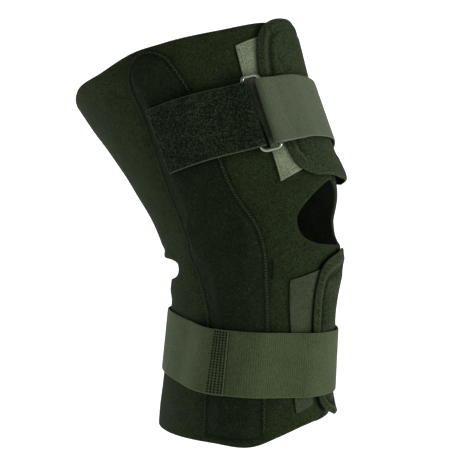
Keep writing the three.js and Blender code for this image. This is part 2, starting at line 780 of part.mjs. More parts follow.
add("sleeve", makeSleeve(), neoprene);
add("outer_hinge_pocket", makePocket(1), pocketKnit);
add("inner_hinge_pocket", makePocket(-1), pocketKnit);
add("outer_hinge", makeHinge(1), steel);
add("inner_hinge", makeHinge(-1), steel);
add("upper_hook_strip", upperHook.make(), hookTape);
add("lower_hook_strip", lowerHook.make(), hookTape);
add("upper_flap", upperFlap.make(), neoprene);
add("lower_flap", lowerFlap.make(), neoprene);
add("pile_strap", makePileStrap(), pile);
add("upper_elastic_strap", makeUpperElastic(), elastic);
add("ring", makeRing(), steel);
add("lower_strap_front", plainStrap(lowerPath, frontOver, lap.frontStart, lap.frontEnd), elastic);
add("lower_strap_rear", plainStrap(lowerPath, rearOver, lap.rearStart, lap.rearEnd), elastic);

export default brace;
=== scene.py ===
"""A wrap-round hinged knee brace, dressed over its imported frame.

Lengths are millimetres until a mesh is written, and metres after that. Every layer of cloth is placed by
its height along the leg, its angle round the leg from the front, and its lift off the sleeve's face.
"""

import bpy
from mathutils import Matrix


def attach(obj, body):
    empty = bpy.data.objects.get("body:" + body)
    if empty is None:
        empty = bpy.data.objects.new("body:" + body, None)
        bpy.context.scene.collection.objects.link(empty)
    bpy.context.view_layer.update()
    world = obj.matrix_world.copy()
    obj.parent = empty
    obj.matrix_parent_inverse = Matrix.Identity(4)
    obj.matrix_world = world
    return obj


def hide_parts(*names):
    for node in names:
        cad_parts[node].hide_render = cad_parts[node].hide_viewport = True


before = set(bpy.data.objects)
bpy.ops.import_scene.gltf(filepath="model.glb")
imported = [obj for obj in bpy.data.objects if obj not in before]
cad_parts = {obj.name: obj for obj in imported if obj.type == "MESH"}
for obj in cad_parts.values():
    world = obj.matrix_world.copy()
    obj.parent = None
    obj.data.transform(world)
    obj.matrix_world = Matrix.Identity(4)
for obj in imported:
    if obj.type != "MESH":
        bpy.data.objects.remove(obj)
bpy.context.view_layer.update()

import logging
import math
from collections.abc import Callable, Sequence
from dataclasses import dataclass, field
from enum import Enum

import bpy
import numpy as np
from mathutils import Vector
from mathutils.geometry import delaunay_2d_cdt
from mathutils.kdtree import KDTree

log = logging.getLogger("knee_brace")

Array = np.ndarray
Lift = Callable[[Array, Array], Array]
Relief = Callable[[Array, Array, Array], Array]
MM = 0.001
GAP = 0.55
SLEEVE_THICKNESS = 3.5
FLAP_THICKNESS = 2.8
HOOK_THICKNESS = 0.9
POCKET_THICKNESS = 1.6
ELASTIC_THICKNESS = 1.6
PILE_THICKNESS = 2.0
STRAP_WIDTH = 48.0
STRAP_SLOPE = 0.35
MM_PER_DEGREE = 1.25
RIDGE_SHARE = 0.55
WIRE_RADIUS = 1.5
CALF_REACH = 155.0
THIGH_REACH = 152.0


def smooth(x: Array) -> Array:
    """A soft step from 0 to 1."""
    x = np.clip(x, 0.0, 1.0)
    return x * x * (3 - 2 * x)


def bump(x: Array, middle: float, reach: float) -> Array:
    """A bell of height 1 round a middle."""
    return np.exp(-(((x - middle) / reach) ** 2))


def rounded(x: Array) -> Array:
    """A quarter circle's rise from 0 to 1."""
    return np.sqrt(np.clip(1 - (1 - np.clip(x, 0, 1)) ** 2, 0, 1))


def curve(keys: Sequence[float], values: Sequence[float], x: Array) -> Array:
    """Values between the rows of a table, on a smooth curve through them.

    Args:
        keys: the rows' places, rising.
        values: the rows' values.
        x: the places wanted.

    Returns:
        The values there.
    """
    k = np.asarray(keys, float)
    v = np.asarray(values, float)
    slope = np.empty_like(v)
    slope[1:-1] = (v[2:] - v[:-2]) / (k[2:] - k[:-2])
    slope[0] = (v[1] - v[0]) / (k[1] - k[0])
    slope[-1] = (v[-1] - v[-2]) / (k[-1] - k[-2])
    x = np.clip(np.asarray(x, float), k[0], k[-1])
    i = np.clip(np.searchsorted(k, x, side="left") - 1, 0, len(k) - 2)
    width = k[i + 1] - k[i]
    t = (x - k[i]) / width
    start = (2 * t**3 - 3 * t * t + 1) * v[i] + (t**3 - 2 * t * t + t) * width * slope[i]
    end = (3 * t * t - 2 * t**3) * v[i + 1] + (t**3 - t * t) * width * slope[i + 1]
    return start + end


def turned(angle: Array) -> Array:
    """An angle brought to between -180 and 180 degrees."""
    return angle - 360 * np.round(np.asarray(angle, float) / 360)


def steps(start: float, end: float, spacing: float) -> Array:
    """Evenly spaced places from one end of a stretch to the other."""
    return np.linspace(start, end, max(1, round(abs(end - start) / spacing)) + 1)


def unit(vectors: Array) -> Array:
    """Vectors brought to length 1."""
    return vectors / (np.linalg.norm(vectors, axis=-1, keepdims=True) + 1e-9)


def run_of(points: Array) -> Array:
    """The distance along a line at each of its points."""
    return np.concatenate([[0], np.cumsum(np.linalg.norm(np.diff(points, axis=0), axis=1))])


def read_at(wanted: Array, run: Array, values: Array) -> Array:
    """Rows of values, read at some distances along a line."""
    return np.stack([np.interp(wanted, run, column) for column in values.T], -1)


def rolls(table: Sequence[tuple[float, float, float]], x: Array) -> Array:
    """Ridges and grooves side by side, each row a rise, its middle and its reach."""
    return sum(rise * bump(x, middle, reach) for rise, middle, reach in table)


@dataclass(frozen=True)
class Leg:
    """The leg's surface over the sleeve, slightly bent at the knee."""

    bend_radius: float = 110.0
    thigh_lean: float = 26.5
    calf_lean: float = -3.4
    heights: tuple[float, ...] = (-159.65, -119.35, -80.6, -40.3, 0, 39.52, 80.56, 120.08, 159.6)
    front: tuple[float, ...] = (69.81, 63.65, 63.92, 64.99, 72.96, 85.08, 89.71, 97.19, 102.35)
    back: tuple[float, ...] = (74.1, 71.02, 69.41, 68.47, 75.04, 71.02, 74.05, 82.06, 90.07)
    outer: tuple[float, ...] = (63, 62.04, 57.96, 57.96, 62, 67.94, 73.94, 79, 82.95)
    inner: tuple[float, ...] = (63, 62.04, 58.44, 59.16, 62, 64.94, 70.94, 76, 79.95)
    shift: tuple[float, ...] = (0, 0, 0, 0, 0, 4, 8, 12, 16)

    def bare(self, height: Array, angle: Array) -> Array:
        """A point on the sleeve's outer face.

        Args:
            height: millimetres along the leg above the knee's centre.
            angle: degrees from the front, positive towards the outer side.

        Returns:
            The points, in millimetres.
        """
        height, angle = np.broadcast_arrays(np.asarray(height, float), np.asarray(angle, float))
        middle = math.radians((self.thigh_lean + self.calf_lean) / 2)
        half = math.radians((self.thigh_lean - self.calf_lean) / 2)
        turn = np.clip(height / self.bend_radius, -half, half)
        lean = middle + turn
        rest = height - turn * self.bend_radius
        y = self.bend_radius * (math.cos(middle) - np.cos(lean)) + rest * np.sin(lean)
        z = self.bend_radius * (np.sin(lean) - math.sin(middle)) + rest * np.cos(lean)
        c = np.cos(np.radians(angle))
        s = np.sin(np.radians(angle))
        sides = ("front", "back", "outer", "inner", "shift")
        reach = {side: curve(self.heights, getattr(self, side), height) for side in sides}
        forward = c * np.where(c > 0, reach["front"], reach["back"])
        sideways = s * np.where(s > 0, reach["outer"], reach["inner"])
        x = -reach["shift"] - sideways
        return np.stack([x, y - forward * np.cos(lean), z + forward * np.sin(lean)], -1)

    def across(self, height: Array, angle: Array) -> Array:
        """The step for each degree round the leg."""
        return self.bare(height, angle + 0.5) - self.bare(height, angle - 0.5)

    def scale(self, height: Array, angle: Array) -> Array:
        """Millimetres for each degree round the leg."""
        return np.linalg.norm(self.across(height, angle), axis=-1)

    def outward(self, height: Array, angle: Array) -> Array:
        """The unit normal of the sleeve's outer face."""
        along = self.bare(height + 0.5, angle) - self.bare(height - 0.5, angle)
        return unit(np.cross(along, self.across(height, angle)))

    def at(self, height: Array, angle: Array, lift: Array) -> Array:
        """The point at a height and angle, lifted off the sleeve's face.

        Args:
            height: Millimetres up the leg.
            angle: Degrees round the leg from the front.
            lift: Millimetres off the sleeve's face.

        Returns:
            The point, in millimetres.
        """
        height = np.asarray(height, float)
        angle = np.asarray(angle, float)
        return self.bare(height, angle) + self.outward(height, angle) * np.asarray(lift, float)[..., None]

    def laid(self, x: Array, y: Array, lift: Array) -> Array:
        """The point of a cloth from its flat place, which runs x round the leg and y up it."""
        return self.at(y, x / MM_PER_DEGREE, lift)


LEG = Leg()


@dataclass(frozen=True)
class Rim:
    """An end of the sleeve: its height at each angle, as a share of the sleeve's reach over the limb."""

    reach: float
    angles: tuple[float, ...]
    shares: tuple[float, ...]

    def at(self, angle: Array) -> Array:
        """The rim's height at an angle."""
        return self.reach * curve(self.angles, self.shares, turned(angle))


TOP_RIM = Rim(
    THIGH_REACH,
    (-180, -120, -77, -30, 9, 38, 66, 80, 101, 126, 180),
    (1, 0.97, 0.925, 0.85, 0.855, 0.853, 0.9, 0.932, 0.952, 1.003, 1),
)
BOTTOM_RIM = Rim(
    CALF_REACH,
    (-180, -120, -70, -45, -25, -10, 5, 20, 37, 52, 62, 80, 113, 180),
    (-0.995, -0.99, -0.985, -0.915, -0.85, -0.84, -0.872,
     -0.893, -0.933, -0.976, -0.988, -0.983, -0.99, -0.995),
)


@dataclass(frozen=True)
class Opening:
    """A hole through the sleeve, a rounded outline fuller on one side than on the other."""

    angle: float
    half_angle: float
    height: float
    up: float
    down: float
    up_power: float
    down_power: float

    def edge(self, share: Array, upper: bool) -> Array:
        """The height of the outline at a share of its half angle, on its upper or its lower side.

        Args:
            share: From -1 to 1.
            upper: Whether the upper side is meant.

        Returns:
            The height in millimetres.
        """
        power = self.up_power if upper else self.down_power
        rise = (1 - np.abs(np.clip(share, -1, 1)) ** power) ** (1 / power)
        return self.height + (self.up if upper else -self.down) * rise

    def side(self, start: float, end: float, upper: bool, count: int = 40) -> Array:
        """Points along one side of the outline, as angle and height, between two shares.

        Args:
            start: The first share, from -1 to 1.
            end: The last share.
            upper: Whether the upper side is meant.
            count: How many points.

        Returns:
            The points, a row each.
        """
        turn = np.linspace(math.asin(start), math.asin(end), count)
        share = np.sin(turn)
        return np.stack([self.angle + share * self.half_angle, self.edge(share, upper)], -1)


KNEECAP = Opening(-8, 39, 1, 16, 13.5, 1.35, 3)
BACK_OPENING = Opening(180, 58, -22.5, 11, 15.5, 2, 3.5)
CLOSURE_ANGLE = -11.0


@dataclass(frozen=True)
class HookStrip:
    """A strip of hook tape that a flap closes on. Its ends climb towards its inner edge."""

    bottom: float
    top: float
    shares: tuple[float, ...]
    angles: tuple[float, ...]
    inner_angle: float = 8.0
    end_skew: float = 6.0

    def near(self, share: Array) -> Array:
        """The angle of the edge that shows, at a share of the strip's length."""
        return curve(self.shares, self.angles, share)

    def skew(self, share: Array, angle: Array) -> Array:
        """How far a place is raised by the slant of the strip's ends."""
        return self.end_skew * (self.near(share) - angle) / (self.near(share) - self.inner_angle)

    def height(self, share: Array, angle: Array) -> Array:
        """The height of a place at a share of the strip's length and an angle."""
        return self.bottom + (self.top - self.bottom) * share + self.skew(share, angle)

    def top_at(self, height: Array, angle: Array) -> Array:
        """How high the strip's face is over the sleeve, or 0 beside it.

        Args:
            height: Millimetres up the leg.
            angle: Degrees round the leg from the front.

        Returns:
            The rise in millimetres.
        """
        span = self.top - self.bottom
        level = (height - self.bottom) / span
        share = level - self.skew(level, angle) / span
        inside = (share >= 0) & (share <= 1) & (angle >= self.inner_angle) & (angle <= self.near(share))
        return np.where(inside, GAP + HOOK_THICKNESS, 0)


@dataclass(frozen=True)
class Flap:
    """A closing flap's outline and how it lies over the hook strip."""

    bottom: float
    top: float
    shares: tuple[float, ...]
    near: tuple[float, ...]
    far: tuple[float, ...]
    lower: bool
    end_lift: float = 4.0
    flare: float = 7.8

    def share(self, height: Array) -> Array:
        """The place of a height along the flap, from 0 at its lower end."""
        return (height - self.bottom) / (self.top - self.bottom)

    def near_at(self, height: Array) -> Array:
        """The angle of the edge on the outer side."""
        return curve(self.shares, self.near, self.share(height))

    def far_at(self, height: Array) -> Array:
        """The angle of the edge on the inner side."""
        return curve(self.shares, self.far, self.share(height))

    def under(self, height: Array, angle: Array) -> Array:
        """How high the flap's underside is over the sleeve.

        Args:
            height: Millimetres up the leg.
            angle: Degrees round the leg from the front.

        Returns:
            The rise in millimetres.
        """
        over_hook = smooth((angle + 24) / 20)
        along = self.share(height)
        to_end = 1 - along / 0.14 if self.lower else (along - 0.9) / 0.5
        rest = GAP + (HOOK_THICKNESS + GAP) * over_hook + self.end_lift * np.clip(to_end, 0, 1) ** 2
        if self.lower:
            return rest
        flared = smooth((along + 0.06) / 0.08) * np.clip((0.175 - along) / 0.175, 0, 1)
        return rest + self.flare * flared * bump(angle, -33, 13)

    def top_at(self, height: Array, angle: Array) -> Array:
        """How high the flap's face is over the sleeve, or 0 beside it.

        Args:
            height: Millimetres up the leg.
            angle: Degrees round the leg from the front.

        Returns:
            The rise in millimetres.
        """
        along = self.share(height)
        beside = (angle > self.near_at(height)) | (angle < self.far_at(height))
        inside = (along >= 0) & (along <= 1) & ~beside
        return np.where(inside, self.under(height, angle) + FLAP_THICKNESS, 0)


UPPER_FLAP = Flap(
    18.3,
    TOP_RIM.at(np.array(CLOSURE_ANGLE)).item() + 5,
    (0, 0.016, 0.042, 0.075, 0.15, 0.36, 0.61, 0.72, 0.82, 0.895, 0.948, 0.982, 1),
    (13, 20, 24.6, 27.4, 29, 30, 28.6, 26.7, 23.9, 20.2, 14, 5, -7),
    (-40, -45, -48, -49, -50, -51, -50, -48, -45, -42.5, -39, -34, -27),
    False,
)
LOWER_FLAP = Flap(
    BOTTOM_RIM.at(np.array(CLOSURE_ANGLE)).item() - 3,
    -13.8,
    (0, 0.035, 0.08, 0.14, 0.22, 0.38, 0.56, 0.76, 0.87, 0.925, 0.96, 0.985, 1),
    (-12, -4, 1, 4, 7.5, 12, 14.2, 15, 14.8, 12.5, 6, -6, -17),
    (-24, -31, -35, -38, -40, -43, -45, -45, -45, -44.5, -43, -39, -33),
    True,
)
UPPER_HOOK = HookStrip(18.5, TOP_RIM.at(np.array(30.0)).item() - 14, (0, 0.6, 1), (38.2, 37.6, 35.2))
LOWER_HOOK = HookStrip(BOTTOM_RIM.at(np.array(30.0)).item() + 14, -28.5, (0, 0.6, 1), (23.4, 31.6, 36))


@dataclass(frozen=True)
class HingePocket:
    """The long sewn pocket over a side hinge, as on the outer side of the leg."""

    heights: tuple[float, ...] = (-159.96, -137.95, -99.98, -59.99, -44.95, -30.07, -15.04, 0,
                                  12.01, 24.93, 44.99, 74.94, 100.02, 117.95, 138.02)
    front: tuple[float, ...] = (47, 45.5, 45.5, 47.6, 48.6, 50.6, 52.4, 56,
                                61.6, 64.8, 64.2, 62.6, 63.2, 65.1, 68)
    rear: tuple[float, ...] = (87, 87, 88, 91.5, 95, 99.5, 105.3, 104.8,
                               104.4, 103.2, 100.5, 94.5, 90.4, 89.2, 86)
    top: float = 138.02
    top_radius: float = 15.0
    rim_margin: float = 3.0
    hub_radius: float = 19.0
    bar_width: float = 16.0
    hinge_thickness: float = 2.6
    hinge_margin: float = 14.0

    @property
    def bottom(self) -> float:
        """Where the pocket ends above the sleeve's lower rim."""
        return BOTTOM_RIM.at(np.array(65.0)).item() + self.rim_margin

    def hem(self, angle: Array) -> Array:
        """How low the pocket reaches at an angle, clear of the sleeve's lower rim."""
        return BOTTOM_RIM.at(angle) + self.rim_margin

    def middle(self, height: Array) -> Array:
        """The angle of the pocket's middle line."""
        return (curve(self.heights, self.front, height) + curve(self.heights, self.rear, height)) / 2

    def half_width(self, height: Array) -> Array:
        """Half the pocket's width, rounded off at its top.

        Args:
            height: Millimetres up the leg.

        Returns:
            The half width in millimetres.
        """
        degrees = curve(self.heights, self.rear, height) - curve(self.heights, self.front, height)
        straight = LEG.scale(height, self.middle(height)) * degrees / 2
        return straight * rounded((self.top - height) / self.top_radius)

    def angle(self, height: Array, across: Array, side: int) -> Array:
        """The angle at a distance across the pocket."""
        return side * (self.middle(height) + across / LEG.scale(height, side * self.middle(height)))

    def across(self, height: Array, angle: Array) -> Array:
        """The distance across the pocket at an angle, on either side of the leg.

        Args:
            height: Millimetres up the leg.
            angle: Degrees round the leg from the front.

        Returns:
            The distance in millimetres.
        """
        flat = turned(angle)
        side = np.where(flat < 0, -1, 1)
        return (np.abs(flat) - self.middle(height)) * LEG.scale(height, side * self.middle(height))

    def lift(self, height: Array, across: Array) -> Array:
        """How high the pocket's underside is over the sleeve.

        Args:
            height: Millimetres up the leg.
            across: Millimetres across it, from its middle.

        Returns:
            The rise in millimetres.
        """
        hub = np.sqrt(np.maximum((self.hub_radius + 3) ** 2 - height**2, 0))
        flat = np.maximum(self.bar_width / 2 + 1, hub)
        foot = np.maximum(self.half_width(height) - 4, flat + 1)
        slope = smooth((np.abs(across) - flat) / (foot - flat))
        below, above = self.bottom + self.hinge_margin - height, height - self.top + self.hinge_margin
        past = np.maximum(np.maximum(below, above), 0)
        return GAP + (self.hinge_thickness + GAP) * (1 - slope) * (1 - smooth(past / 9))

    def top_at(self, height: Array, angle: Array) -> Array:
        """How high the pocket's face is over the sleeve, or 0 beside it.

        Args:
            height: Millimetres up the leg.
            angle: Degrees round the leg from the front.

        Returns:
            The rise in millimetres.
        """
        across = self.across(height, angle)
        inside = (height < self.top) & (np.abs(across) < self.half_width(np.minimum(height, self.top)))
        return np.where(inside, self.lift(height, across) + POCKET_THICKNESS, 0)


POCKET = HingePocket()


def cover_at(height: Array, angle: Array) -> Array:
    """The top of whatever lies on the sleeve at a place, before the straps go on.

    Args:
        height: Millimetres up the leg.
        angle: Degrees round the leg from the front.

    Returns:
        The rise in millimetres.
    """
    flat = turned(angle)
    pieces = (UPPER_FLAP, LOWER_FLAP, UPPER_HOOK, LOWER_HOOK, POCKET)
    return np.max([piece.top_at(height, flat) for piece in pieces], axis=0)


@dataclass(frozen=True)
class StrapPath:
    """The way that a strap takes round the leg, with distances along it from its start."""

    base: float
    rise: float
    rise_from: float
    rise_to: float
    start: float
    end: float
    nodes: dict[str, Array] = field(init=False, repr=False, default_factory=dict)

    def __post_init__(self) -> None:
        """Walks the path once and keeps its places."""
        rows = []
        angle, along = self.start, 0.0
        while angle <= self.end:
            height = self.height(np.array(angle)).item()
            scale = LEG.scale(np.array(height), np.array(angle)).item()
            climb = self.height(np.array(angle + 0.5)) - self.height(np.array(angle - 0.5))
            rows.append((along, angle, height, scale, climb.item() / scale))
            angle += 1.5 / scale
            along += 1.5
        for name, column in zip(("along", "angle", "height", "scale", "slope"), np.array(rows).T):
            self.nodes[name] = column

    def height(self, angle: Array) -> Array:
        """The height of the strap's middle line at an angle."""
        share = (np.abs(turned(angle)) - self.rise_from) / (self.rise_to - self.rise_from)
        return self.base + self.rise * smooth(share)

    def along(self, angle: float) -> float:
        """The distance along the path at an angle."""
        return curve(self.nodes["angle"], self.nodes["along"], np.array(angle)).item()

    def spot(self, along: Array, across: Array) -> tuple[Array, Array]:
        """The height and angle of a place on the strap.

        Args:
            along: Millimetres along the strap.
            across: Millimetres across it, from its middle.

        Returns:
            The height, then the angle.
        """
        kept, wanted = self.nodes, ("angle", "height", "scale", "slope")
        angle, height, scale, slope = (curve(kept["along"], kept[name], along) for name in wanted)
        tilt = np.arctan(slope)
        return height + across * np.cos(tilt), angle - across * np.sin(tilt) / scale

    def on_sleeve(self, along: Array, across: Array, lift: Array) -> Array:
        """A point lifted off the sleeve below a place on the strap."""
        height, angle = self.spot(along, across)
        return LEG.at(height, angle, lift)

    def point(self, along: Array, across: Array, lift: Array) -> Array:
        """A point of the strap, which lies straight across its width.

        Args:
            along: Millimetres along the strap.
            across: Millimetres across it, from its middle.
            lift: Millimetres off the sleeve's face.

        Returns:
            The point, in millimetres.
        """
        along, across, lift = np.broadcast_arrays(*(np.asarray(x, float) for x in (along, across, lift)))
        half = np.full_like(along, STRAP_WIDTH / 2)
        low = self.on_sleeve(along, -half, lift)
        high = self.on_sleeve(along, half, lift)
        return low + (high - low) * (across / STRAP_WIDTH + 0.5)[..., None]

    def cover(self, along: Array) -> Array:
        """The lowest lift of a strap's underside that clears what it lies on.

        Args:
            along: Millimetres along the strap.

        Returns:
            The lift in millimetres.
        """
        along = np.asarray(along, float)
        zero = np.zeros_like(along)
        outward = unit(self.point(along, zero, zero + 1) - self.point(along, zero, zero))
        highest = zero
        for share in np.linspace(-0.5, 0.5, 9):
            across = zero + share * STRAP_WIDTH
            height, angle = self.spot(along, across)
            rise = self.on_sleeve(along, across, zero) - self.point(along, across, zero)
            highest = np.maximum(highest, cover_at(height, angle) + (rise * outward).sum(-1))
        return highest + GAP


UPPER_PATH = StrapPath(0.408 * THIGH_REACH, 16.5, 25, 115, -135, 130)
LOWER_PATH = StrapPath(-0.59 * CALF_REACH, 6.5, 75, 145, -140, 300)


def taut(heights: Callable[[Array], Array], start: float, end: float) -> Callable[[Array], Array]:
    """The lowest line over some heights that climbs and falls no faster than the strap's slope.

    Args:
        heights: the lift to clear at each place.
        start: where the strap begins.
        end: where it ends.

    Returns:
        The strap's lift at each place.
    """
    places = np.arange(start - 30, end + 30, 1.5)
    wanted = heights(places)
    away = np.maximum(np.abs(places[:, None] - places) - 4.5, 0)
    tight = np.maximum((wanted - STRAP_SLOPE * away).max(-1), 0)
    weights = np.hanning(11)
    eased = np.convolve(np.pad(tight, 5, mode="edge"), weights / weights.sum(), "valid")
    return lambda along: np.interp(along, places, eased)


def faceted(lift: Callable[[Array], Array], start: float, end: float) -> Callable[[Array], Array]:
    """A lift read off straight facets between the places where the strap bends.

    Args:
        lift: The lift along the strap.
        start: Where the facets start along it.
        end: Where they end.

    Returns:
        The faceted lift.
    """
    places = steps(start, end, 6.5)
    lifts = lift(places)
    return lambda along: np.interp(along, places, lifts)


class Tree:
    """A node tree that is filled in one node at a time."""

    def __init__(self, tree: bpy.types.NodeTree) -> None:
        """Takes an empty tree."""
        self.tree = tree

    def add(
        self, kind: str, inputs: dict[int | str, object] | None = None, **settings: object
    ) -> bpy.types.Node:
        """Adds a node, sets its properties and fills or links its inputs.

        Args:
            kind: the node's type.
            inputs: values, or sockets to link, by input name or index.
            settings: the node's own properties.

        Returns:
            The node.
        """
        node = self.tree.nodes.new(kind)
        for name, value in settings.items():
            setattr(node, name, value)
        for key, value in (inputs or {}).items():
            socket = node.inputs[key]
            if isinstance(value, bpy.types.NodeSocket):
                self.link(value, socket)
            else:
                socket.default_value = value
        return node

    def link(self, source: bpy.types.NodeSocket, target: bpy.types.NodeSocket) -> None:
        """Links two sockets."""
        self.tree.links.new(source, target)

    def math(self, operation: str, *values: object) -> bpy.types.NodeSocket:
        """Adds a Math node and gives its result."""
        return self.add("ShaderNodeMath", dict(enumerate(values)), operation=operation).outputs[0]

    def remap(
        self, value: object, reach: tuple, to: tuple = (0.0, 1.0), **settings: object
    ) -> bpy.types.NodeSocket:
        """Adds a Map Range node and gives its result."""
        inputs = dict(zip(("Value", "From Min", "From Max", "To Min", "To Max"), (value, *reach, *to)))
        return self.add("ShaderNodeMapRange", inputs, **settings).outputs["Result"]

    def noise(self, place: object, scale: object, detail: float, **inputs: object) -> bpy.types.NodeSocket:
        """Adds a Noise Texture node and gives its strength."""
        more = {"Vector": place, "Scale": scale, "Detail": detail, **inputs}
        return self.add("ShaderNodeTexNoise", more).outputs["Fac"]

    def cells(self, place: object, pitch: object) -> bpy.types.NodeInputs:
        """Counts a place on the cloth in steps of a pitch in millimetres, and gives its X, Y and Z.

        Args:
            place: The place, in metres.
            pitch: One step.

        Returns:
            The sockets X, Y and Z.
        """
        scale = self.math("DIVIDE", 1000.0, pitch)
        counted = self.add("ShaderNodeVectorMath", {0: place, "Scale": scale}, operation="SCALE").outputs[0]
        return self.add("ShaderNodeSeparateXYZ", {0: counted}).outputs

    def wave(self, turns: object) -> bpy.types.NodeSocket:
        """Gives the size of a sine that is 0 at each whole turn."""
        return self.math("ABSOLUTE", self.math("SINE", self.math("MULTIPLY", turns, math.pi)))

    def ramp(
        self, factor: bpy.types.NodeSocket, stops: Sequence[tuple[float, tuple[float, ...]]]
    ) -> bpy.types.NodeSocket:
        """Adds a Color Ramp between colours and gives its colour.

        Args:
            factor: The value to colour.
            stops: Each colour's place from 0 to 1, and the colour.

        Returns:
            The colour's socket.
        """
        node = self.add("ShaderNodeValToRGB", {"Fac": factor})
        while len(node.color_ramp.elements) < len(stops):
            node.color_ramp.elements.new(0.5)
        for element, (place, colour) in zip(node.color_ramp.elements, stops):
            element.position = place
            element.color = (*colour[:3], 1)
        return node.outputs["Color"]

    def mix(self, factor: object, a: object, b: object, blend: str = "MIX") -> bpy.types.NodeSocket:
        """Mixes two colours and gives the result."""
        node = self.add("ShaderNodeMix", {0: factor, 6: a, 7: b}, data_type="RGBA", blend_type=blend)
        return node.outputs[2]


def shader_group(name: str, inputs: dict[str, object], outputs: Sequence[str]) -> tuple[Tree, dict, dict]:
    """Starts a shader node group with named sockets.

    Args:
        name: the group's name.
        inputs: each input's default number, or None for a vector.
        outputs: the names of its outputs, all numbers.

    Returns:
        The tree, its input sockets by name and its output node's sockets by name.
    """
    group = bpy.data.node_groups.new(name, "ShaderNodeTree")
    for label, default in inputs.items():
        kind = "NodeSocketVector" if default is None else "NodeSocketFloat"
        socket = group.interface.new_socket(label, in_out="INPUT", socket_type=kind)
        if default is not None:
            socket.default_value = default
    for label in outputs:
        group.interface.new_socket(label, in_out="OUTPUT", socket_type="NodeSocketFloat")
    tree = Tree(group)
    given = tree.add("NodeGroupInput")
    wanted = tree.add("NodeGroupOutput")
    return tree, {n: given.outputs[n] for n in inputs}, {n: wanted.inputs[n] for n in outputs}


def knit_group() -> bpy.types.NodeTree:
    """Fine jersey knit: columns of small V loops, as a height.

    Returns:
        The node group.
    """
    tree, given, wanted = shader_group("Jersey knit", {"Vector": None, "Pitch mm": 1.0}, ["Height"])
    parts = tree.cells(given["Vector"], given["Pitch mm"])
    column = tree.math("ABSOLUTE", tree.math("SUBTRACT", tree.math("FRACT", parts["X"]), 0.5))
    row = tree.math("ADD", tree.math("MULTIPLY", parts["Y"], 1.35), tree.math("MULTIPLY", column, 1.1))
    loops = tree.wave(row)
    groove = tree.math("SINE", tree.math("MULTIPLY", column, 2 * math.pi))
    height = tree.math("MULTIPLY", tree.math("POWER", loops, 0.7), tree.math("ADD", 0.25, groove))
    tree.link(height, wanted["Height"])
    return tree.tree


def rib_group() -> bpy.types.NodeTree:
    """Ribbed elastic: ribs across the band, each crossed by fine picks, as a height, with a mask of the
    grooves between ribs for painted shade.

    Returns:
        The node group.
    """
    tree, given, wanted = shader_group(
        "Elastic rib", {"Vector": None, "Pitch mm": 1.2}, ["Height", "Groove"]
    )
    parts = tree.cells(given["Vector"], given["Pitch mm"])
    rib = tree.wave(parts["X"])
    odd = tree.math("MULTIPLY", tree.math("MODULO", tree.math("FLOOR", parts["X"]), 2.0), 0.5)
    pick = tree.wave(tree.math("ADD", tree.math("MULTIPLY", parts["Y"], 1.6), odd))
    crossed = tree.math("ADD", 0.6, tree.math("MULTIPLY", pick, 0.4))
    tree.link(tree.math("MULTIPLY", tree.math("POWER", rib, 0.6), crossed), wanted["Height"])
    tree.link(tree.math("POWER", tree.math("SUBTRACT", 1.0, rib), 2.0), wanted["Groove"])
    return tree.tree


def mottle_group() -> bpy.types.NodeTree:
    """Uneven cloth colour: soft patches, tufts of nap, and lint, as masks.

    Returns:
        The node group.
    """
    tree, given, wanted = shader_group(
        "Cloth mottle",
        {"Vector": None, "Tuft mm": 1.3, "Curl": 0.0, "Seed": 0.0},
        ["Patch", "Tuft", "Lint"],
    )
    offset = tree.add("ShaderNodeCombineXYZ", {k: given["Seed"] for k in range(3)}).outputs[0]
    place = tree.add("ShaderNodeVectorMath", {0: given["Vector"], 1: offset}, operation="ADD").outputs[0]
    fine = tree.math("DIVIDE", 1000.0, given["Tuft mm"])
    tree.link(tree.noise(place, 60.0, 4.0, Roughness=0.6), wanted["Patch"])
    tree.link(tree.noise(place, fine, 1.0, Roughness=0.6, Distortion=given["Curl"]), wanted["Tuft"])
    lint = tree.noise(place, 620.0, 1.0, Distortion=1.5)
    tree.link(tree.remap(lint, (0.64, 0.74)), wanted["Lint"])
    return tree.tree


def edge_group() -> bpy.types.NodeTree:
    """A band along a cut edge, and masks for painted shade in its seam's groove and for a painted highlight
    on the ridge between, from the edge distance in a cloth's mesh.

    Returns:
        The node group.
    """
    tree, given, wanted = shader_group(
        "Cloth edge", {"Width mm": 1.0, "Seam mm": 0.0}, ["Edge", "Seam", "Ridge"]
    )
    distance = tree.add("ShaderNodeAttribute", attribute_name="edge").outputs["Fac"]
    ridge_at = tree.math("MULTIPLY", given["Seam mm"], RIDGE_SHARE)
    for label, place, reach in (("Seam", given["Seam mm"], 1.6), ("Ridge", ridge_at, 1.7)):
        beside = tree.math("ABSOLUTE", tree.math("SUBTRACT", distance, place))
        shown = tree.remap(beside, (0.0, reach), (1.0, 0.0), interpolation_type="SMOOTHSTEP")
        tree.link(shown, wanted[label])
    tree.link(tree.remap(distance, (0.0, given["Width mm"]), (1.0, 0.0)), wanted["Edge"])
    return tree.tree


class Weave(Enum):
    """The face of a cloth."""

    KNIT = "knit"
    RIB = "rib"
    PILE = "pile"
    HOOK = "hook"


def srgb(red: float, green: float, blue: float) -> tuple[float, float, float]:
    """A colour given in 0 to 255 as it looks, made linear."""
    shares = (c / 255 for c in (red, green, blue))
    return tuple(c / 12.92 if c <= 0.0404 else ((c + 0.055) / 1.055) ** 2.4 for c in shares)


def with_alpha(colour: tuple[float, float, float]) -> tuple[float, float, float, float]:
    """A colour with full cover."""
    return (*colour, 1)


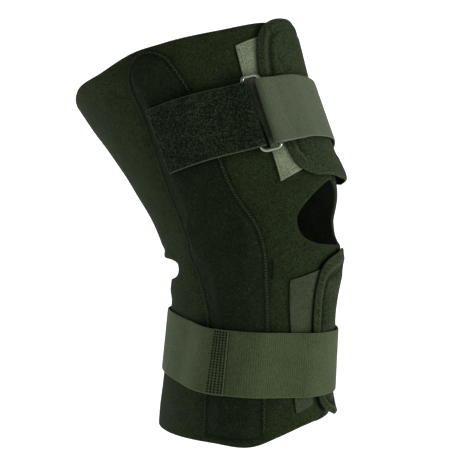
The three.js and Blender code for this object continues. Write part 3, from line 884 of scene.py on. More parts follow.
@dataclass(frozen=True)
class Finish:
    """A surface whose material is made once and shared by its pieces."""

    name: str

    def shader(self, tree: Tree) -> bpy.types.NodeSocket:
        """Adds the surface's own nodes and gives their shader."""
        raise NotImplementedError

    def material(self) -> bpy.types.Material:
        """The surface's material.

        Returns:
            The material.
        """
        if self.name in bpy.data.materials:
            return bpy.data.materials[self.name]
        made = bpy.data.materials.new(self.name)
        made.use_nodes = True
        made.node_tree.nodes.clear()
        tree = Tree(made.node_tree)
        shader = self.shader(tree)
        tree.add("ShaderNodeOutputMaterial", {"Surface": shader})
        return made


@dataclass(frozen=True)
class ClothFinish(Finish):
    """A cloth's colours and surface."""

    weave: Weave
    dark: tuple[float, float, float]
    light: tuple[float, float, float]
    edge: tuple[float, float, float]
    pitch_mm: float = 1.0
    bump_mm: float = 0.12
    grain_mm: float = 0.3
    tuft_mm: float = 1.3
    curl: float = 0.6
    tuft_amount: float = 1.5
    patch_amount: float = 0.9
    low: float = 0.2
    high: float = 0.8
    lint_share: float = 0.1
    edge_mm: float = 0.8
    edge_share: float = 0.5
    seam_mm: float = 0.0
    # How much painted shade darkens the seam's groove.
    seam_groove_shade: float = 0.0
    # How much painted highlight lightens the hem's ridge.
    ridge_highlight: float = 0.0
    roughness: float = 0.9
    sheen: float = 0.02
    gloss: float = 0.06
    seed: float = 0.0

    def colour(self, tree: Tree, tone: object, mottle: bpy.types.Node) -> bpy.types.NodeSocket:
        """The cloth's colour: its own two, then lint, its edge, painted shade in its seam's groove, a
        painted highlight on its hem's ridge, and painted shade in crevices and under other pieces, from
        ambient occlusion.

        Args:
            tree: the material's nodes.
            tone: where the cloth is light or dark.
            mottle: the mottle group's node.

        Returns:
            The colour.
        """
        edge = tree.add("ShaderNodeGroup", node_tree=GROUPS["edge"])
        edge.inputs["Width mm"].default_value = self.edge_mm
        edge.inputs["Seam mm"].default_value = self.seam_mm
        reach = {"Distance": PAINTED_SHADE_REACH}
        occlusion_shade = tree.add("ShaderNodeAmbientOcclusion", reach, samples=6).outputs["AO"]
        colour = tree.ramp(tone, ((self.low, self.dark), (self.high, self.light)))
        layers = (
            (mottle.outputs["Lint"], self.lint_share, LINT),
            (edge.outputs["Edge"], self.edge_share, self.edge),
            # Painted highlight on the hem's ridge.
            (edge.outputs["Ridge"], self.ridge_highlight, self.edge),
            # Painted shade in the seam's groove.
            (edge.outputs["Seam"], self.seam_groove_shade, self.dark),
            # Painted shade: ambient occlusion darkens crevices, folds and places under other pieces.
            (tree.remap(occlusion_shade, (0.3, 0.9), (0.85, 0.0)), 1.0, PAINTED_SHADE),
        )
        for mask, share, over in layers:
            colour = tree.mix(tree.math("MULTIPLY", mask, share), colour, with_alpha(over))
        return colour

    def shader(self, tree: Tree) -> bpy.types.NodeSocket:
        """Adds the cloth's nodes and gives its shader.

        Args:
            tree: The material's tree.

        Returns:
            The shader's socket.
        """
        place = tree.add("ShaderNodeTexCoord").outputs["Object"]
        flat = tree.add("ShaderNodeUVMap", uv_map="cloth").outputs[0]
        mottle = tree.add("ShaderNodeGroup", node_tree=GROUPS["mottle"])
        tree.link(place, mottle.inputs["Vector"])
        for label, value in (("Tuft mm", self.tuft_mm), ("Curl", self.curl), ("Seed", self.seed)):
            mottle.inputs[label].default_value = value
        weave = tree.add("ShaderNodeGroup", node_tree=GROUPS["rib" if self.weave is Weave.RIB else "knit"])
        tree.link(flat, weave.inputs["Vector"])
        weave.inputs["Pitch mm"].default_value = self.pitch_mm
        patch, tuft = mottle.outputs["Patch"], mottle.outputs["Tuft"]
        middle = 0.5 - 0.5 * (self.tuft_amount + self.patch_amount)
        tone = tree.math("MULTIPLY_ADD", tuft, self.tuft_amount, middle)
        tone = tree.math("MULTIPLY_ADD", patch, self.patch_amount, tone)
        if self.weave is Weave.RIB:
            # Painted shade in the grooves between the ribs.
            tone = tree.math("SUBTRACT", tone, tree.math("MULTIPLY", weave.outputs["Groove"], GROOVE_SHADE))
        woven = tree.math("MULTIPLY", weave.outputs["Height"], self.bump_mm)
        grain = tree.math("MULTIPLY_ADD", tuft, self.grain_mm, woven)
        bumped = tree.add("ShaderNodeBump", {"Height": grain, "Distance": MM, "Strength": 1.0})
        rough = tree.remap(tuft, (0.0, 1.0), (self.roughness - 0.08, min(self.roughness + 0.08, 1)))
        shader = tree.add("ShaderNodeBsdfPrincipled", {
            "Base Color": self.colour(tree, tone, mottle), "Roughness": rough, "Normal": bumped.outputs[0],
            "Sheen Weight": self.sheen, "Sheen Roughness": 0.5, "Sheen Tint": with_alpha(SHEEN_TINT),
            "Specular IOR Level": self.gloss,
        })
        return shader.outputs[0]


@dataclass(frozen=True)
class MetalFinish(Finish):
    """A bare or plated metal."""

    colour: tuple[float, float, float]
    roughness: float
    scratch_scale: float

    def shader(self, tree: Tree) -> bpy.types.NodeSocket:
        """Adds the metal's nodes and gives its shader.

        Args:
            tree: The material's tree.

        Returns:
            The shader's socket.
        """
        place = tree.add("ShaderNodeTexCoord").outputs["Object"]
        noise = tree.noise(place, self.scratch_scale, 5.0)
        dull = tree.remap(noise, (0.3, 0.75), (self.roughness * 0.7, self.roughness * 1.6))
        darker = tuple(c * 0.8 for c in self.colour)
        colour = tree.ramp(noise, ((0.35, self.colour), (0.75, darker)))
        bumped = tree.add("ShaderNodeBump", {"Height": noise, "Distance": 0.03 * MM, "Strength": 1.0})
        shader = tree.add("ShaderNodeBsdfPrincipled", {
            "Base Color": colour, "Roughness": dull, "Normal": bumped.outputs[0], "Metallic": 1.0,
        })
        return shader.outputs[0]


@dataclass(frozen=True)
class ThreadFinish(Finish):
    """Sewing thread, dull and twisted."""

    colour: tuple[float, float, float]
    roughness: float = 0.8

    def shader(self, tree: Tree) -> bpy.types.NodeSocket:
        """Adds the thread's nodes and gives its shader.

        Args:
            tree: The material's tree.

        Returns:
            The shader's socket.
        """
        place = tree.add("ShaderNodeTexCoord").outputs["Object"]
        noise = tree.noise(place, 1800.0, 2.0)
        lighter = tuple(min(c * 1.6, 1) for c in self.colour)
        colour = tree.ramp(noise, ((0.35, self.colour), (0.7, lighter)))
        bumped = tree.add("ShaderNodeBump", {"Height": noise, "Distance": 0.1 * MM, "Strength": 1.0})
        shader = tree.add("ShaderNodeBsdfPrincipled", {
            "Base Color": colour, "Roughness": self.roughness, "Normal": bumped.outputs[0],
            "Specular IOR Level": 0.08,
        })
        return shader.outputs[0]


GROUPS: dict[str, bpy.types.NodeTree] = {}
LINT = srgb(120, 126, 108)
# Painted shade for crevices and under other pieces, and how far the occlusion looks.
PAINTED_SHADE = srgb(5, 7, 3)
PAINTED_SHADE_REACH = 10 * MM
SHEEN_TINT = srgb(170, 180, 150)
# How much painted shade darkens the rib grooves.
GROOVE_SHADE = 0.26

SLEEVE_KNIT = ClothFinish("Sleeve knit", Weave.KNIT, srgb(11, 17, 6), srgb(39, 50, 27),
                          srgb(46, 54, 36), pitch_mm=1.1, tuft_mm=1.2, tuft_amount=1.3, patch_amount=0.4,
                          seed=0.3)
LINING = ClothFinish("Lining knit", Weave.KNIT, srgb(20, 24, 17), srgb(40, 45, 36),
                     srgb(52, 60, 42), pitch_mm=1.0, seed=1.3)
POCKET_KNIT = ClothFinish("Pocket knit", Weave.KNIT, srgb(9, 15, 5), srgb(27, 36, 19),
                          srgb(38, 45, 30), pitch_mm=0.9, seed=2.1, tuft_mm=1.2, tuft_amount=1.4,
                          patch_amount=0.4, seam_mm=3.6, seam_groove_shade=0.45)
FLAP_KNIT = ClothFinish("Flap knit", Weave.KNIT, srgb(18, 25, 12), srgb(49, 59, 38),
                        srgb(80, 90, 66), pitch_mm=1.1, seed=3.7, tuft_mm=1.1, tuft_amount=2.0,
                        patch_amount=0.4, seam_mm=9.0, seam_groove_shade=0.75,
                        ridge_highlight=0.22, edge_share=0.3)
HOOK_TAPE = ClothFinish("Hook tape", Weave.HOOK, srgb(90, 100, 77), srgb(136, 147, 120),
                        srgb(118, 128, 104), pitch_mm=1.3, bump_mm=0.25, tuft_mm=1.0, roughness=0.75,
                        lint_share=0.15, seed=4.2)
LOWER_HOOK_TAPE = ClothFinish("Lower hook tape", Weave.HOOK, srgb(42, 50, 34), srgb(66, 76, 55),
                              srgb(84, 94, 72), pitch_mm=1.3, bump_mm=0.25, tuft_mm=1.0, roughness=0.75,
                              lint_share=0.1, seed=4.9)
UPPER_ELASTIC = ClothFinish("Upper elastic", Weave.RIB, srgb(58, 67, 48), srgb(84, 93, 72),
                            srgb(106, 116, 92), pitch_mm=1.2, bump_mm=0.22, grain_mm=0.12, roughness=0.8,
                            tuft_mm=1.1, tuft_amount=1.0, patch_amount=0.3, seed=5.5, sheen=0.06, gloss=0.15)
LOWER_ELASTIC = ClothFinish("Lower elastic", Weave.RIB, srgb(40, 50, 28), srgb(67, 79, 50),
                            srgb(92, 102, 78), pitch_mm=1.6, bump_mm=0.25, grain_mm=0.12, roughness=0.8,
                            tuft_mm=1.1, tuft_amount=1.0, patch_amount=0.4, seed=6.5, sheen=0.06, gloss=0.15)
PILE_WEBBING = ClothFinish("Pile webbing", Weave.PILE, srgb(6, 11, 4), srgb(53, 66, 44),
                           srgb(78, 86, 68), pitch_mm=0.8, bump_mm=0.05, grain_mm=0.9, tuft_mm=1.1, curl=1.6,
                           tuft_amount=2.6, patch_amount=0.3, low=0.45, high=1.15, lint_share=0.05,
                           edge_mm=1.0, edge_share=0.7, seed=7.5)
PLATED_STEEL = MetalFinish("Plated wire", srgb(138, 142, 128), 0.2, 160.0)
HINGE_STEEL = MetalFinish("Hinge steel", srgb(180, 182, 180), 0.35, 60.0)
BLACK_THREAD = ThreadFinish("Black thread", srgb(8, 11, 5))
DARK_THREAD = ThreadFinish("Dark thread", srgb(42, 48, 34))
DULL_THREAD = ThreadFinish("Dull thread", srgb(52, 58, 43))
GREY_THREAD = ThreadFinish("Grey thread", srgb(58, 66, 50))


def write_mesh(
    name: str, points: Array, faces: list[Sequence[int]], uv: Array, edge: Array
) -> bpy.types.Object:
    """Makes a smooth mesh object from points in millimetres.

    Args:
        name: the piece's name.
        points: the vertices.
        faces: the corners of each face.
        uv: each vertex's place on the flat cloth, in metres.
        edge: each vertex's distance from the cloth's edge, in millimetres.

    Returns:
        The object, in the scene.
    """
    mesh = bpy.data.meshes.new(name)
    mesh.from_pydata((points * MM).tolist(), [], [list(map(int, f)) for f in faces])
    layer = mesh.uv_layers.new(name="cloth")
    corners = np.empty(len(mesh.loops), np.int32)
    mesh.loops.foreach_get("vertex_index", corners)
    layer.data.foreach_set("uv", uv[corners].astype(np.float32).ravel())
    attribute = mesh.attributes.new("edge", "FLOAT", "POINT")
    attribute.data.foreach_set("value", edge.astype(np.float32))
    mesh.shade_smooth()
    mesh.update()
    return in_scene(name, mesh)


def in_scene(name: str, data: bpy.types.ID) -> bpy.types.Object:
    """Makes an object of a mesh, a light or a camera and puts it in the scene.

    Args:
        name: Its name.
        data: What it shows.

    Returns:
        The object.
    """
    made = bpy.data.objects.new(name, data)
    bpy.context.scene.collection.objects.link(made)
    return made


def signed_volume(points: Array, triangles: Array) -> float:
    """Six times the volume inside some triangles, negative when they face in."""
    a, b, c = (points[triangles[:, i]] for i in range(3))
    return float((a * np.cross(b, c)).sum())


def tube_faces(points: Array, rings: int, closed: bool) -> list[tuple[int, ...]]:
    """Joins rings of points into a tube that faces out.

    Args:
        points: the rings' points, ring after ring.
        rings: how many there are.
        closed: whether the last ring joins the first. If not, both ends get a cap.

    Returns:
        The faces.
    """
    sides = len(points) // rings
    faces = []
    for i in range(rings if closed else rings - 1):
        near, far = i * sides, (i + 1) % rings * sides
        for j in range(sides):
            k = (j + 1) % sides
            faces.append((near + j, near + k, far + k, far + j))
    quads = np.array(faces)
    split = np.vstack([quads[:, [0, 1, 2]], quads[:, [0, 2, 3]]])
    if not closed:
        faces.append(tuple(range(sides))[::-1])
        faces.append(tuple(range(len(points) - sides, len(points))))
    if signed_volume(points - points.mean(0), split) < 0:
        faces = [face[::-1] for face in faces]
    return faces


def inside_loops(loops: list[Array], points: Array) -> Array:
    """Whether flat points lie inside some closed loops, holes left out.

    Args:
        loops: Flat points round each loop.
        points: The points to test.

    Returns:
        True for each point that lies inside.
    """
    x, y = points.T
    found = np.zeros(x.shape, bool)
    for loop in loops:
        for (a, b), (c, d) in zip(loop, np.roll(loop, -1, 0)):
            if b == d:
                continue
            crosses = ((b > y) != (d > y)) & (x < (c - a) * (y - b) / (d - b) + a)
            found ^= crosses
    return found


def resample(points: Array, spacing: float, closed: bool = False) -> Array:
    """Points spaced evenly along a line.

    Args:
        points: The line's points.
        spacing: The wanted distance between points.
        closed: Whether the line returns to its start.

    Returns:
        The new points.
    """
    if closed:
        points = np.vstack([points, points[:1]])
    run = run_of(points)
    count = max(4, round(run[-1] / spacing))
    wanted = np.linspace(0, run[-1], count + (0 if closed else 1), endpoint=not closed)
    return read_at(wanted, run, points)


def left_of(ahead: Array) -> Array:
    """The unit direction to the left of each step of a flat line."""
    return unit(np.stack([-ahead[:, 1], ahead[:, 0]], -1))


def beside(loop: Array) -> Array:
    """The direction to the left of a closed loop at each of its points."""
    return left_of(np.roll(loop, -1, 0) - np.roll(loop, 1, 0))


def inward(loop: Array) -> Array:
    """The direction into a closed loop at each of its points.

    Args:
        loop: Flat points round the loop.

    Returns:
        A unit direction for each point.
    """
    sideways = beside(loop)
    test = loop + sideways
    return sideways if inside_loops([loop], test).mean() > 0.5 else -sideways


def runs(line: Array, shown: Array) -> list[Array]:
    """The stretches of a line whose points are all to be shown.

    Args:
        line: The line's points.
        shown: Whether each point is to be shown.

    Returns:
        The stretches of more than three points.
    """
    cuts = np.flatnonzero(np.diff(shown)) + 1
    parts = zip(np.split(line, cuts), np.split(shown, cuts))
    return [part for part, keep in parts if keep[0] and len(part) > 3]


def level(lift: float) -> Lift:
    """The same lift at every place."""
    return lambda x, y: np.full_like(x, lift)


@dataclass
class Panel:
    """A piece of cloth cut to an outline and laid on a surface, with rounded edges.

    The flat cloth is measured in millimetres. place turns a spot on it and a lift into a point.
    """

    name: str
    loops: list[Array]
    place: Callable[[Array, Array, Array], Array]
    under: Lift
    thickness: float
    spacing: float = 3.0
    relief: Relief | None = None
    thin_edge: float = 1.0
    thin_over: float = 4.0
    hemmed: Lift | None = None
    rings: tuple[float, ...] = (0.35, 0.9, 1.8)
    grid_clear: float = 2.6

    def flat_points(self) -> tuple[Array, Array, Array]:
        """Spreads points over the cloth, closer together along its edge.

        Returns:
            The points, the edge's segments as pairs of point numbers, and each point's edge distance.
        """
        first, pairs, extra = 0, [], []
        for loop in self.loops:
            n = len(loop)
            pairs += [(first + i, first + (i + 1) % n) for i in range(n)]
            first += n
            sideways = beside(loop)
            test = loop + sideways * 0.3
            flip = np.where(inside_loops(self.loops, test), 1, -1)
            extra += [(loop + sideways * flip[:, None] * ring, ring) for ring in self.rings]
        edge = np.vstack(self.loops)
        low, high = edge.min(0), edge.max(0)
        columns = np.arange(low[0], high[0], self.spacing)
        gx, gy = np.meshgrid(columns, np.arange(low[1], high[1], self.spacing * 0.87))
        gx = gx + (np.arange(gx.shape[0]) % 2 * self.spacing / 2)[:, None]
        grid = np.stack([gx.ravel(), gy.ravel()], -1)
        tree = KDTree(len(edge))
        for i, p in enumerate(edge):
            tree.insert((*p, 0), i)
        tree.balance()

        def off_edge(points: Array) -> Array:
            """Each point's distance from the edge."""
            return np.array([tree.find((*p, 0))[2] for p in points])

        kept = []
        for group, clear in [*extra, (grid, self.grid_clear)]:
            group = group[inside_loops(self.loops, group)]
            kept.append(group[off_edge(group) > clear * 0.93])
        flat = np.vstack([edge, *kept])
        away = off_edge(flat)
        away[: len(edge)] = 0
        return flat, np.array(pairs), away

    def build(self, finish: ClothFinish, back: ClothFinish | None = None) -> bpy.types.Object:
        """Makes the cloth.

        Args:
            finish: the face's finish.
            back: the finish of the side towards the leg, if it differs.

        Returns:
            The piece.
        """
        flat, pairs, away = self.flat_points()
        found = delaunay_2d_cdt([Vector(p) for p in flat], pairs.tolist(), [], 0, 1e-6)
        at = np.array([tuple(v) for v in found[0]])
        triangles = np.array(found[2])
        origin = np.array([ids[0] if ids else -1 for ids in found[3]])
        distance = np.where(origin >= 0, away[origin], 0)
        edge_count = len(pairs)
        border = np.array([any(i < edge_count for i in ids) for ids in found[3]])
        middle = at[triangles].mean(1)
        triangles = triangles[inside_loops(self.loops, middle)]
        used = np.unique(triangles)
        again = np.full(len(at), -1)
        again[used] = np.arange(len(used))
        at, distance, border, triangles = at[used], distance[used], border[used], again[triangles]
        thick = self.thickness * (self.thin_edge + (1 - self.thin_edge) * smooth(distance / self.thin_over))
        half = thick / 2
        roll = rounded(distance / (half * 0.9))
        lift = self.under(at[:, 0], at[:, 1]) + half
        rise = self.relief(at[:, 0], at[:, 1], distance) * smooth(distance / 2) if self.relief else 0
        face = self.place(at[:, 0], at[:, 1], lift + half * roll + rise)
        inner = np.flatnonzero(~border)
        rear = self.place(at[inner, 0], at[inner, 1], lift[inner] - (half * roll)[inner])
        twin = np.arange(len(at))
        twin[inner] = len(at) + np.arange(len(inner))
        points = np.vstack([face, rear])
        both = np.vstack([triangles, twin[triangles][:, ::-1]])
        if signed_volume(points, both) < 0:
            both = both[:, ::-1]
        uv = np.vstack([at, at[inner]]) * MM
        shown = distance
        if self.hemmed:
            beyond_seam = 20 * (1 - self.hemmed(at[:, 0], at[:, 1]))
            shown = distance + beyond_seam * smooth(distance / 3)
        edge = np.concatenate([shown, shown[inner]])
        made = write_mesh(self.name, points, both.tolist(), uv, edge)
        made.data.materials.append(finish.material())
        if back is not None:
            made.data.materials.append(back.material())
            index = np.zeros(len(both), np.int32)
            index[len(triangles):] = 1
            made.data.polygons.foreach_set("material_index", index)
        return made


def sewn_flat(from_end: Array) -> Array:
    """The share of a strap's thickness that is left near a cut end that stitches press flat."""
    return np.clip(0.1 + from_end / 9, 0, 1)


@dataclass
class Ribbon:
    """A flat strap along a line in the plane of its path, given as distance along and lift."""

    name: str
    path: StrapPath
    line: Array
    thickness: float
    width: float = STRAP_WIDTH
    spacing: float = 1.6
    pressed_ends: bool = False

    def build(self, finish: ClothFinish) -> bpy.types.Object:
        """Makes the strap.

        Args:
            finish: the strap's finish.

        Returns:
            The piece.
        """
        line = resample(self.line, self.spacing)
        run = run_of(line)
        sideways = left_of(np.gradient(line, axis=0))
        half = self.thickness / 2
        inner = np.linspace(-0.5, 0.5, 13)[1:-1] * (self.width - 3)
        rim = self.width / 2 - np.array([0.0, 0.12, 0.4, 0.9, 1.5])
        across = np.concatenate([-rim, inner, rim[::-1]])
        rise = rounded((self.width / 2 - np.abs(across)) / 0.9)
        ring_across = np.concatenate([across, across[-2:0:-1]])
        ring_rise = np.concatenate([rise, -rise[-2:0:-1]])
        from_end = np.minimum(run, run[-1] - run)
        cut = 0.35 + 0.65 * np.sqrt(np.clip(from_end / 0.7, 0, 1))
        end = sewn_flat(from_end) if self.pressed_ends else cut
        u, v = np.meshgrid(np.arange(len(line)), np.arange(len(ring_across)), indexing="ij")
        offset = half * ring_rise[v] * end[u]
        if self.pressed_ends:
            offset = offset - half * (1 - end[u])
        place = line[u] + sideways[u] * offset[..., None]
        points = self.path.point(place[..., 0], ring_across[v], place[..., 1]).reshape(-1, 3)
        faces = tube_faces(points, len(line), False)
        uv = np.stack([run[u], ring_across[v]], -1).reshape(-1, 2) * MM
        to_edge = self.width / 2 - np.abs(ring_across[v])
        made = write_mesh(self.name, points, faces, uv, to_edge.ravel())
        made.data.materials.append(finish.material())
        return made

    @property
    def length(self) -> float:
        """The strap's length along its line, in millimetres."""
        return float(np.linalg.norm(np.diff(self.line, axis=0), axis=1).sum())


def area_of(made: bpy.types.Object) -> float:
    """Half a thin closed piece's surface, which is its cloth's area in square metres."""
    return sum(face.area for face in made.data.polygons) / 2


def settle(made: bpy.types.Object, slot: str, *nodes: str) -> bpy.types.Object:
    """Puts a piece on the brace's one body and in place of its plain solids.

    Args:
        made: The piece.
        slot: Its material slot, which is not used.
        nodes: The solids that it replaces.

    Returns:
        The same piece.
    """
    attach(made, "root")
    if nodes:
        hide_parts(*nodes)
    log.info("%s: %d faces", made.name, len(made.data.polygons))
    return made


def stretched(made: bpy.types.Object, size: tuple[float, float], *under: str) -> None:
    """Works out a piece's cloth area, capped at its flat width times its length in millimetres, and keeps
    nothing of it.

    Args:
        made: The piece.
        size: Its flat width and length.
        under: The pieces that it rests on, which are not used.
    """
    area = area_of(made)
    flat = (size[0] * MM, size[1] * MM)
    area = min(area, flat[0] * flat[1])


@dataclass(frozen=True)
class StitchKind:
    """The size of one stitch of a seam, in millimetres."""

    length: float = 2.2
    width: float = 0.55
    height: float = 0.4
    jitter: float = 0.12
    seed: int = 3


def stitch_tree() -> bpy.types.NodeTree:
    """Geometry nodes that lay a small rounded stitch at each point, along its run and facing out.

    Returns:
        The tree.
    """
    group = bpy.data.node_groups.new("Stitches", "GeometryNodeTree")
    face = group.interface
    face.new_socket("Geometry", in_out="INPUT", socket_type="NodeSocketGeometry")
    for label in ("Length", "Width", "Height", "Jitter"):
        face.new_socket(label, in_out="INPUT", socket_type="NodeSocketFloat")
    face.new_socket("Seed", in_out="INPUT", socket_type="NodeSocketInt")
    face.new_socket("Thread", in_out="INPUT", socket_type="NodeSocketMaterial")
    face.new_socket("Geometry", in_out="OUTPUT", socket_type="NodeSocketGeometry")
    tree = Tree(group)
    given = tree.add("NodeGroupInput").outputs
    grain = tree.add("GeometryNodeMeshUVSphere", {"Segments": 6, "Rings": 5, "Radius": 0.5}).outputs[0]
    run = tree.add("GeometryNodeInputNamedAttribute", {"Name": "run"}, data_type="FLOAT_VECTOR").outputs[0]
    out = tree.add("GeometryNodeInputNamedAttribute", {"Name": "out"}, data_type="FLOAT_VECTOR").outputs[0]
    first = tree.add("FunctionNodeAlignRotationToVector", {"Vector": run}, axis="X").outputs[0]
    turn = tree.add("FunctionNodeAlignRotationToVector", {"Rotation": first, "Vector": out},
                    axis="Z", pivot_axis="X").outputs[0]
    low = tree.math("SUBTRACT", 1.0, given["Jitter"])
    high = tree.math("ADD", 1.0, given["Jitter"])
    vary = tree.add("FunctionNodeRandomValue", {"Seed": given["Seed"]}, data_type="FLOAT")
    vary_out = next(s for s in vary.outputs if s.enabled)
    for socket in vary.inputs:
        if socket.enabled and socket.name in ("Min", "Max"):
            tree.link(low if socket.name == "Min" else high, socket)
    size = tree.add("ShaderNodeCombineXYZ", {0: tree.math("MULTIPLY", given["Length"], vary_out),
                                             1: given["Width"], 2: given["Height"]}).outputs[0]
    laid = tree.add("GeometryNodeInstanceOnPoints", {"Points": given["Geometry"], "Instance": grain,
                                                     "Rotation": turn, "Scale": size}).outputs[0]
    real = tree.add("GeometryNodeRealizeInstances", {"Geometry": laid}).outputs[0]
    soft = tree.add("GeometryNodeSetShadeSmooth", {"Geometry": real}).outputs[0]
    done = tree.add("GeometryNodeSetMaterial", {"Geometry": soft, "Material": given["Thread"]}).outputs[0]
    tree.add("NodeGroupOutput", {"Geometry": done})
    return group


@dataclass
class Seam:
    """Rows of stitches, gathered from lines on the cloth and made in one piece."""

    name: str
    kind: StitchKind
    thread: ThreadFinish
    spots: list[tuple[Array, Array, Array]] = field(default_factory=list)

    def row(self, points: Array, outward: Array, pitch: float) -> None:
        """Adds a row of stitches along a line.

        Args:
            points: the line's points, in millimetres.
            outward: the cloth's normal at each.
            pitch: the distance from one stitch to the next.
        """
        run = run_of(points)
        if run[-1] < pitch:
            return
        wanted = np.arange(pitch / 2, run[-1], pitch)
        ahead = read_at(wanted + 0.3, run, points) - read_at(wanted - 0.3, run, points)
        self.spots.append((read_at(wanted, run, points), ahead, read_at(wanted, run, outward)))

    def zigzag(self, left: Array, right: Array, outward: Array, pitch: float) -> None:
        """Adds a zigzag between two lines that run side by side.

        Args:
            left: points on the first line.
            right: points on the second line, one for each on the first.
            outward: the cloth's normal at each.
            pitch: the distance along the seam from one leg of the zigzag to the next.
        """
        run = run_of(left)
        wanted = np.arange(0, run[-1], pitch)
        a, b, up = (read_at(wanted, run, values) for values in (left, right, outward))
        even = np.arange(len(wanted)) % 2 == 0
        ends = np.where(even[:, None], a, b)
        self.spots.append(((ends[1:] + ends[:-1]) / 2, ends[1:] - ends[:-1], (up[1:] + up[:-1]) / 2))

    def build(self, slot: str) -> bpy.types.Object:
        """Makes the stitches as one plain mesh.

        Args:
            slot: the record's material slot that they belong to, which is not used.

        Returns:
            The piece.
        """
        at, run, out = (np.vstack([s[k] for s in self.spots]) for k in range(3))
        mesh = bpy.data.meshes.new(self.name + "_points")
        mesh.from_pydata((at * MM).tolist(), [], [])
        for label, values in (("run", run), ("out", out)):
            layer = mesh.attributes.new(label, "FLOAT_VECTOR", "POINT")
            layer.data.foreach_set("vector", unit(values).astype(np.float32).ravel())
        source = in_scene(self.name + "_points", mesh)
        tree = bpy.data.node_groups.get("Stitches") or stitch_tree()
        modifier = source.modifiers.new("Stitches", "NODES")
        modifier.node_group = tree
        kind = self.kind
        values = {"Length": kind.length * MM, "Width": kind.width * MM, "Height": kind.height * MM,
                  "Jitter": kind.jitter, "Seed": kind.seed, "Thread": self.thread.material()}
        for item in tree.interface.items_tree:
            if item.in_out == "INPUT" and item.name in values:
                modifier[item.identifier] = values[item.name]
        seen = source.evaluated_get(bpy.context.evaluated_depsgraph_get())
        plain = bpy.data.meshes.new_from_object(seen)
        source.modifiers.clear()
        bpy.data.objects.remove(source)
        return settle(in_scene(self.name, plain), slot)


@dataclass
class Sleeve:
    """The padded wrap with its front slit and two openings."""

    slit: float = 0.65
    dents: tuple[tuple[float, ...], ...] = (
        (1.2, -8, 5, 140, 22), (-1.0, 4, 7, 150, 25), (0.9, -46, 5, 145, 25), (-0.8, -58, 7, 138, 22),
    )

    def outline(self) -> list[Array]:
        """The flat wrap's outer edge, which takes in the kneecap opening at both ends, and the rear hole.

        Returns:
            The loops, in flat millimetres.
        """
        left, right = CLOSURE_ANGLE + self.slit, CLOSURE_ANGLE + 360 - self.slit
        first = (left - KNEECAP.angle) / KNEECAP.half_angle
        last = (right - 360 - KNEECAP.angle) / KNEECAP.half_angle
        bottom = np.linspace(left, right, 260)
        top = np.linspace(right, left, 260)
        right_low = KNEECAP.side(-1, last, False)[::-1] + (360, 0)
        right_high = KNEECAP.side(-1, last, True) + (360, 0)
        left_high = KNEECAP.side(first, 1, True)
        left_low = KNEECAP.side(first, 1, False)[::-1]
        loop = np.vstack([
            np.stack([bottom, BOTTOM_RIM.at(bottom)], -1),
            right_low,
            right_high[1:],
            np.stack([top, TOP_RIM.at(top)], -1),
            left_high,
            left_low[1:],
        ])
        upper, lower = (BACK_OPENING.side(-1, 1, is_upper, 60) for is_upper in (True, False))
        hole = np.vstack([upper, lower[::-1][1:-1]])
        scale = np.array([MM_PER_DEGREE, 1.0])
        return [resample(loop * scale, 1.7, True), resample(hole * scale, 1.5, True)]

    def relief(self, x: Array, y: Array, inset: Array) -> Array:
        """Soft dents and folds of the neoprene, in millimetres.

        Each dent is a rise, then its height and angle, each with its reach.

        Args:
            x: Millimetres round the leg, laid flat.
            y: Millimetres up the leg.
            inset: Millimetres in from the cut edge.

        Returns:
            The rise in millimetres.
        """
        angle = turned(x / MM_PER_DEGREE)
        across = np.abs(POCKET.across(y, angle))
        half = POCKET.half_width(np.minimum(y, POCKET.top))
        seam = -0.5 * bump(across - half, 1.0, 1.6) * (y < POCKET.top)
        creases = sum(
            rise * bump(y, up, tall) * bump(angle, at, wide) for rise, up, tall, at, wide in self.dents
        )
        broad = 0.35 * np.sin(y / 11 + angle / 19) * np.sin(angle / 23 + 1.3)
        return seam + creases + 0.6 * (broad + 0.2 * np.sin(y / 5.3 - angle / 9))

    def build(self) -> bpy.types.Object:
        """Makes the wrap.

        Returns:
            The piece.
        """
        panel = Panel("neoprene_sleeve", self.outline(), LEG.laid, level(-SLEEVE_THICKNESS),
                      SLEEVE_THICKNESS, spacing=3.2, relief=self.relief)
        made = settle(panel.build(SLEEVE_KNIT, LINING), "neoprene", "sleeve")
        stretched(made, (490, 310))
        return made


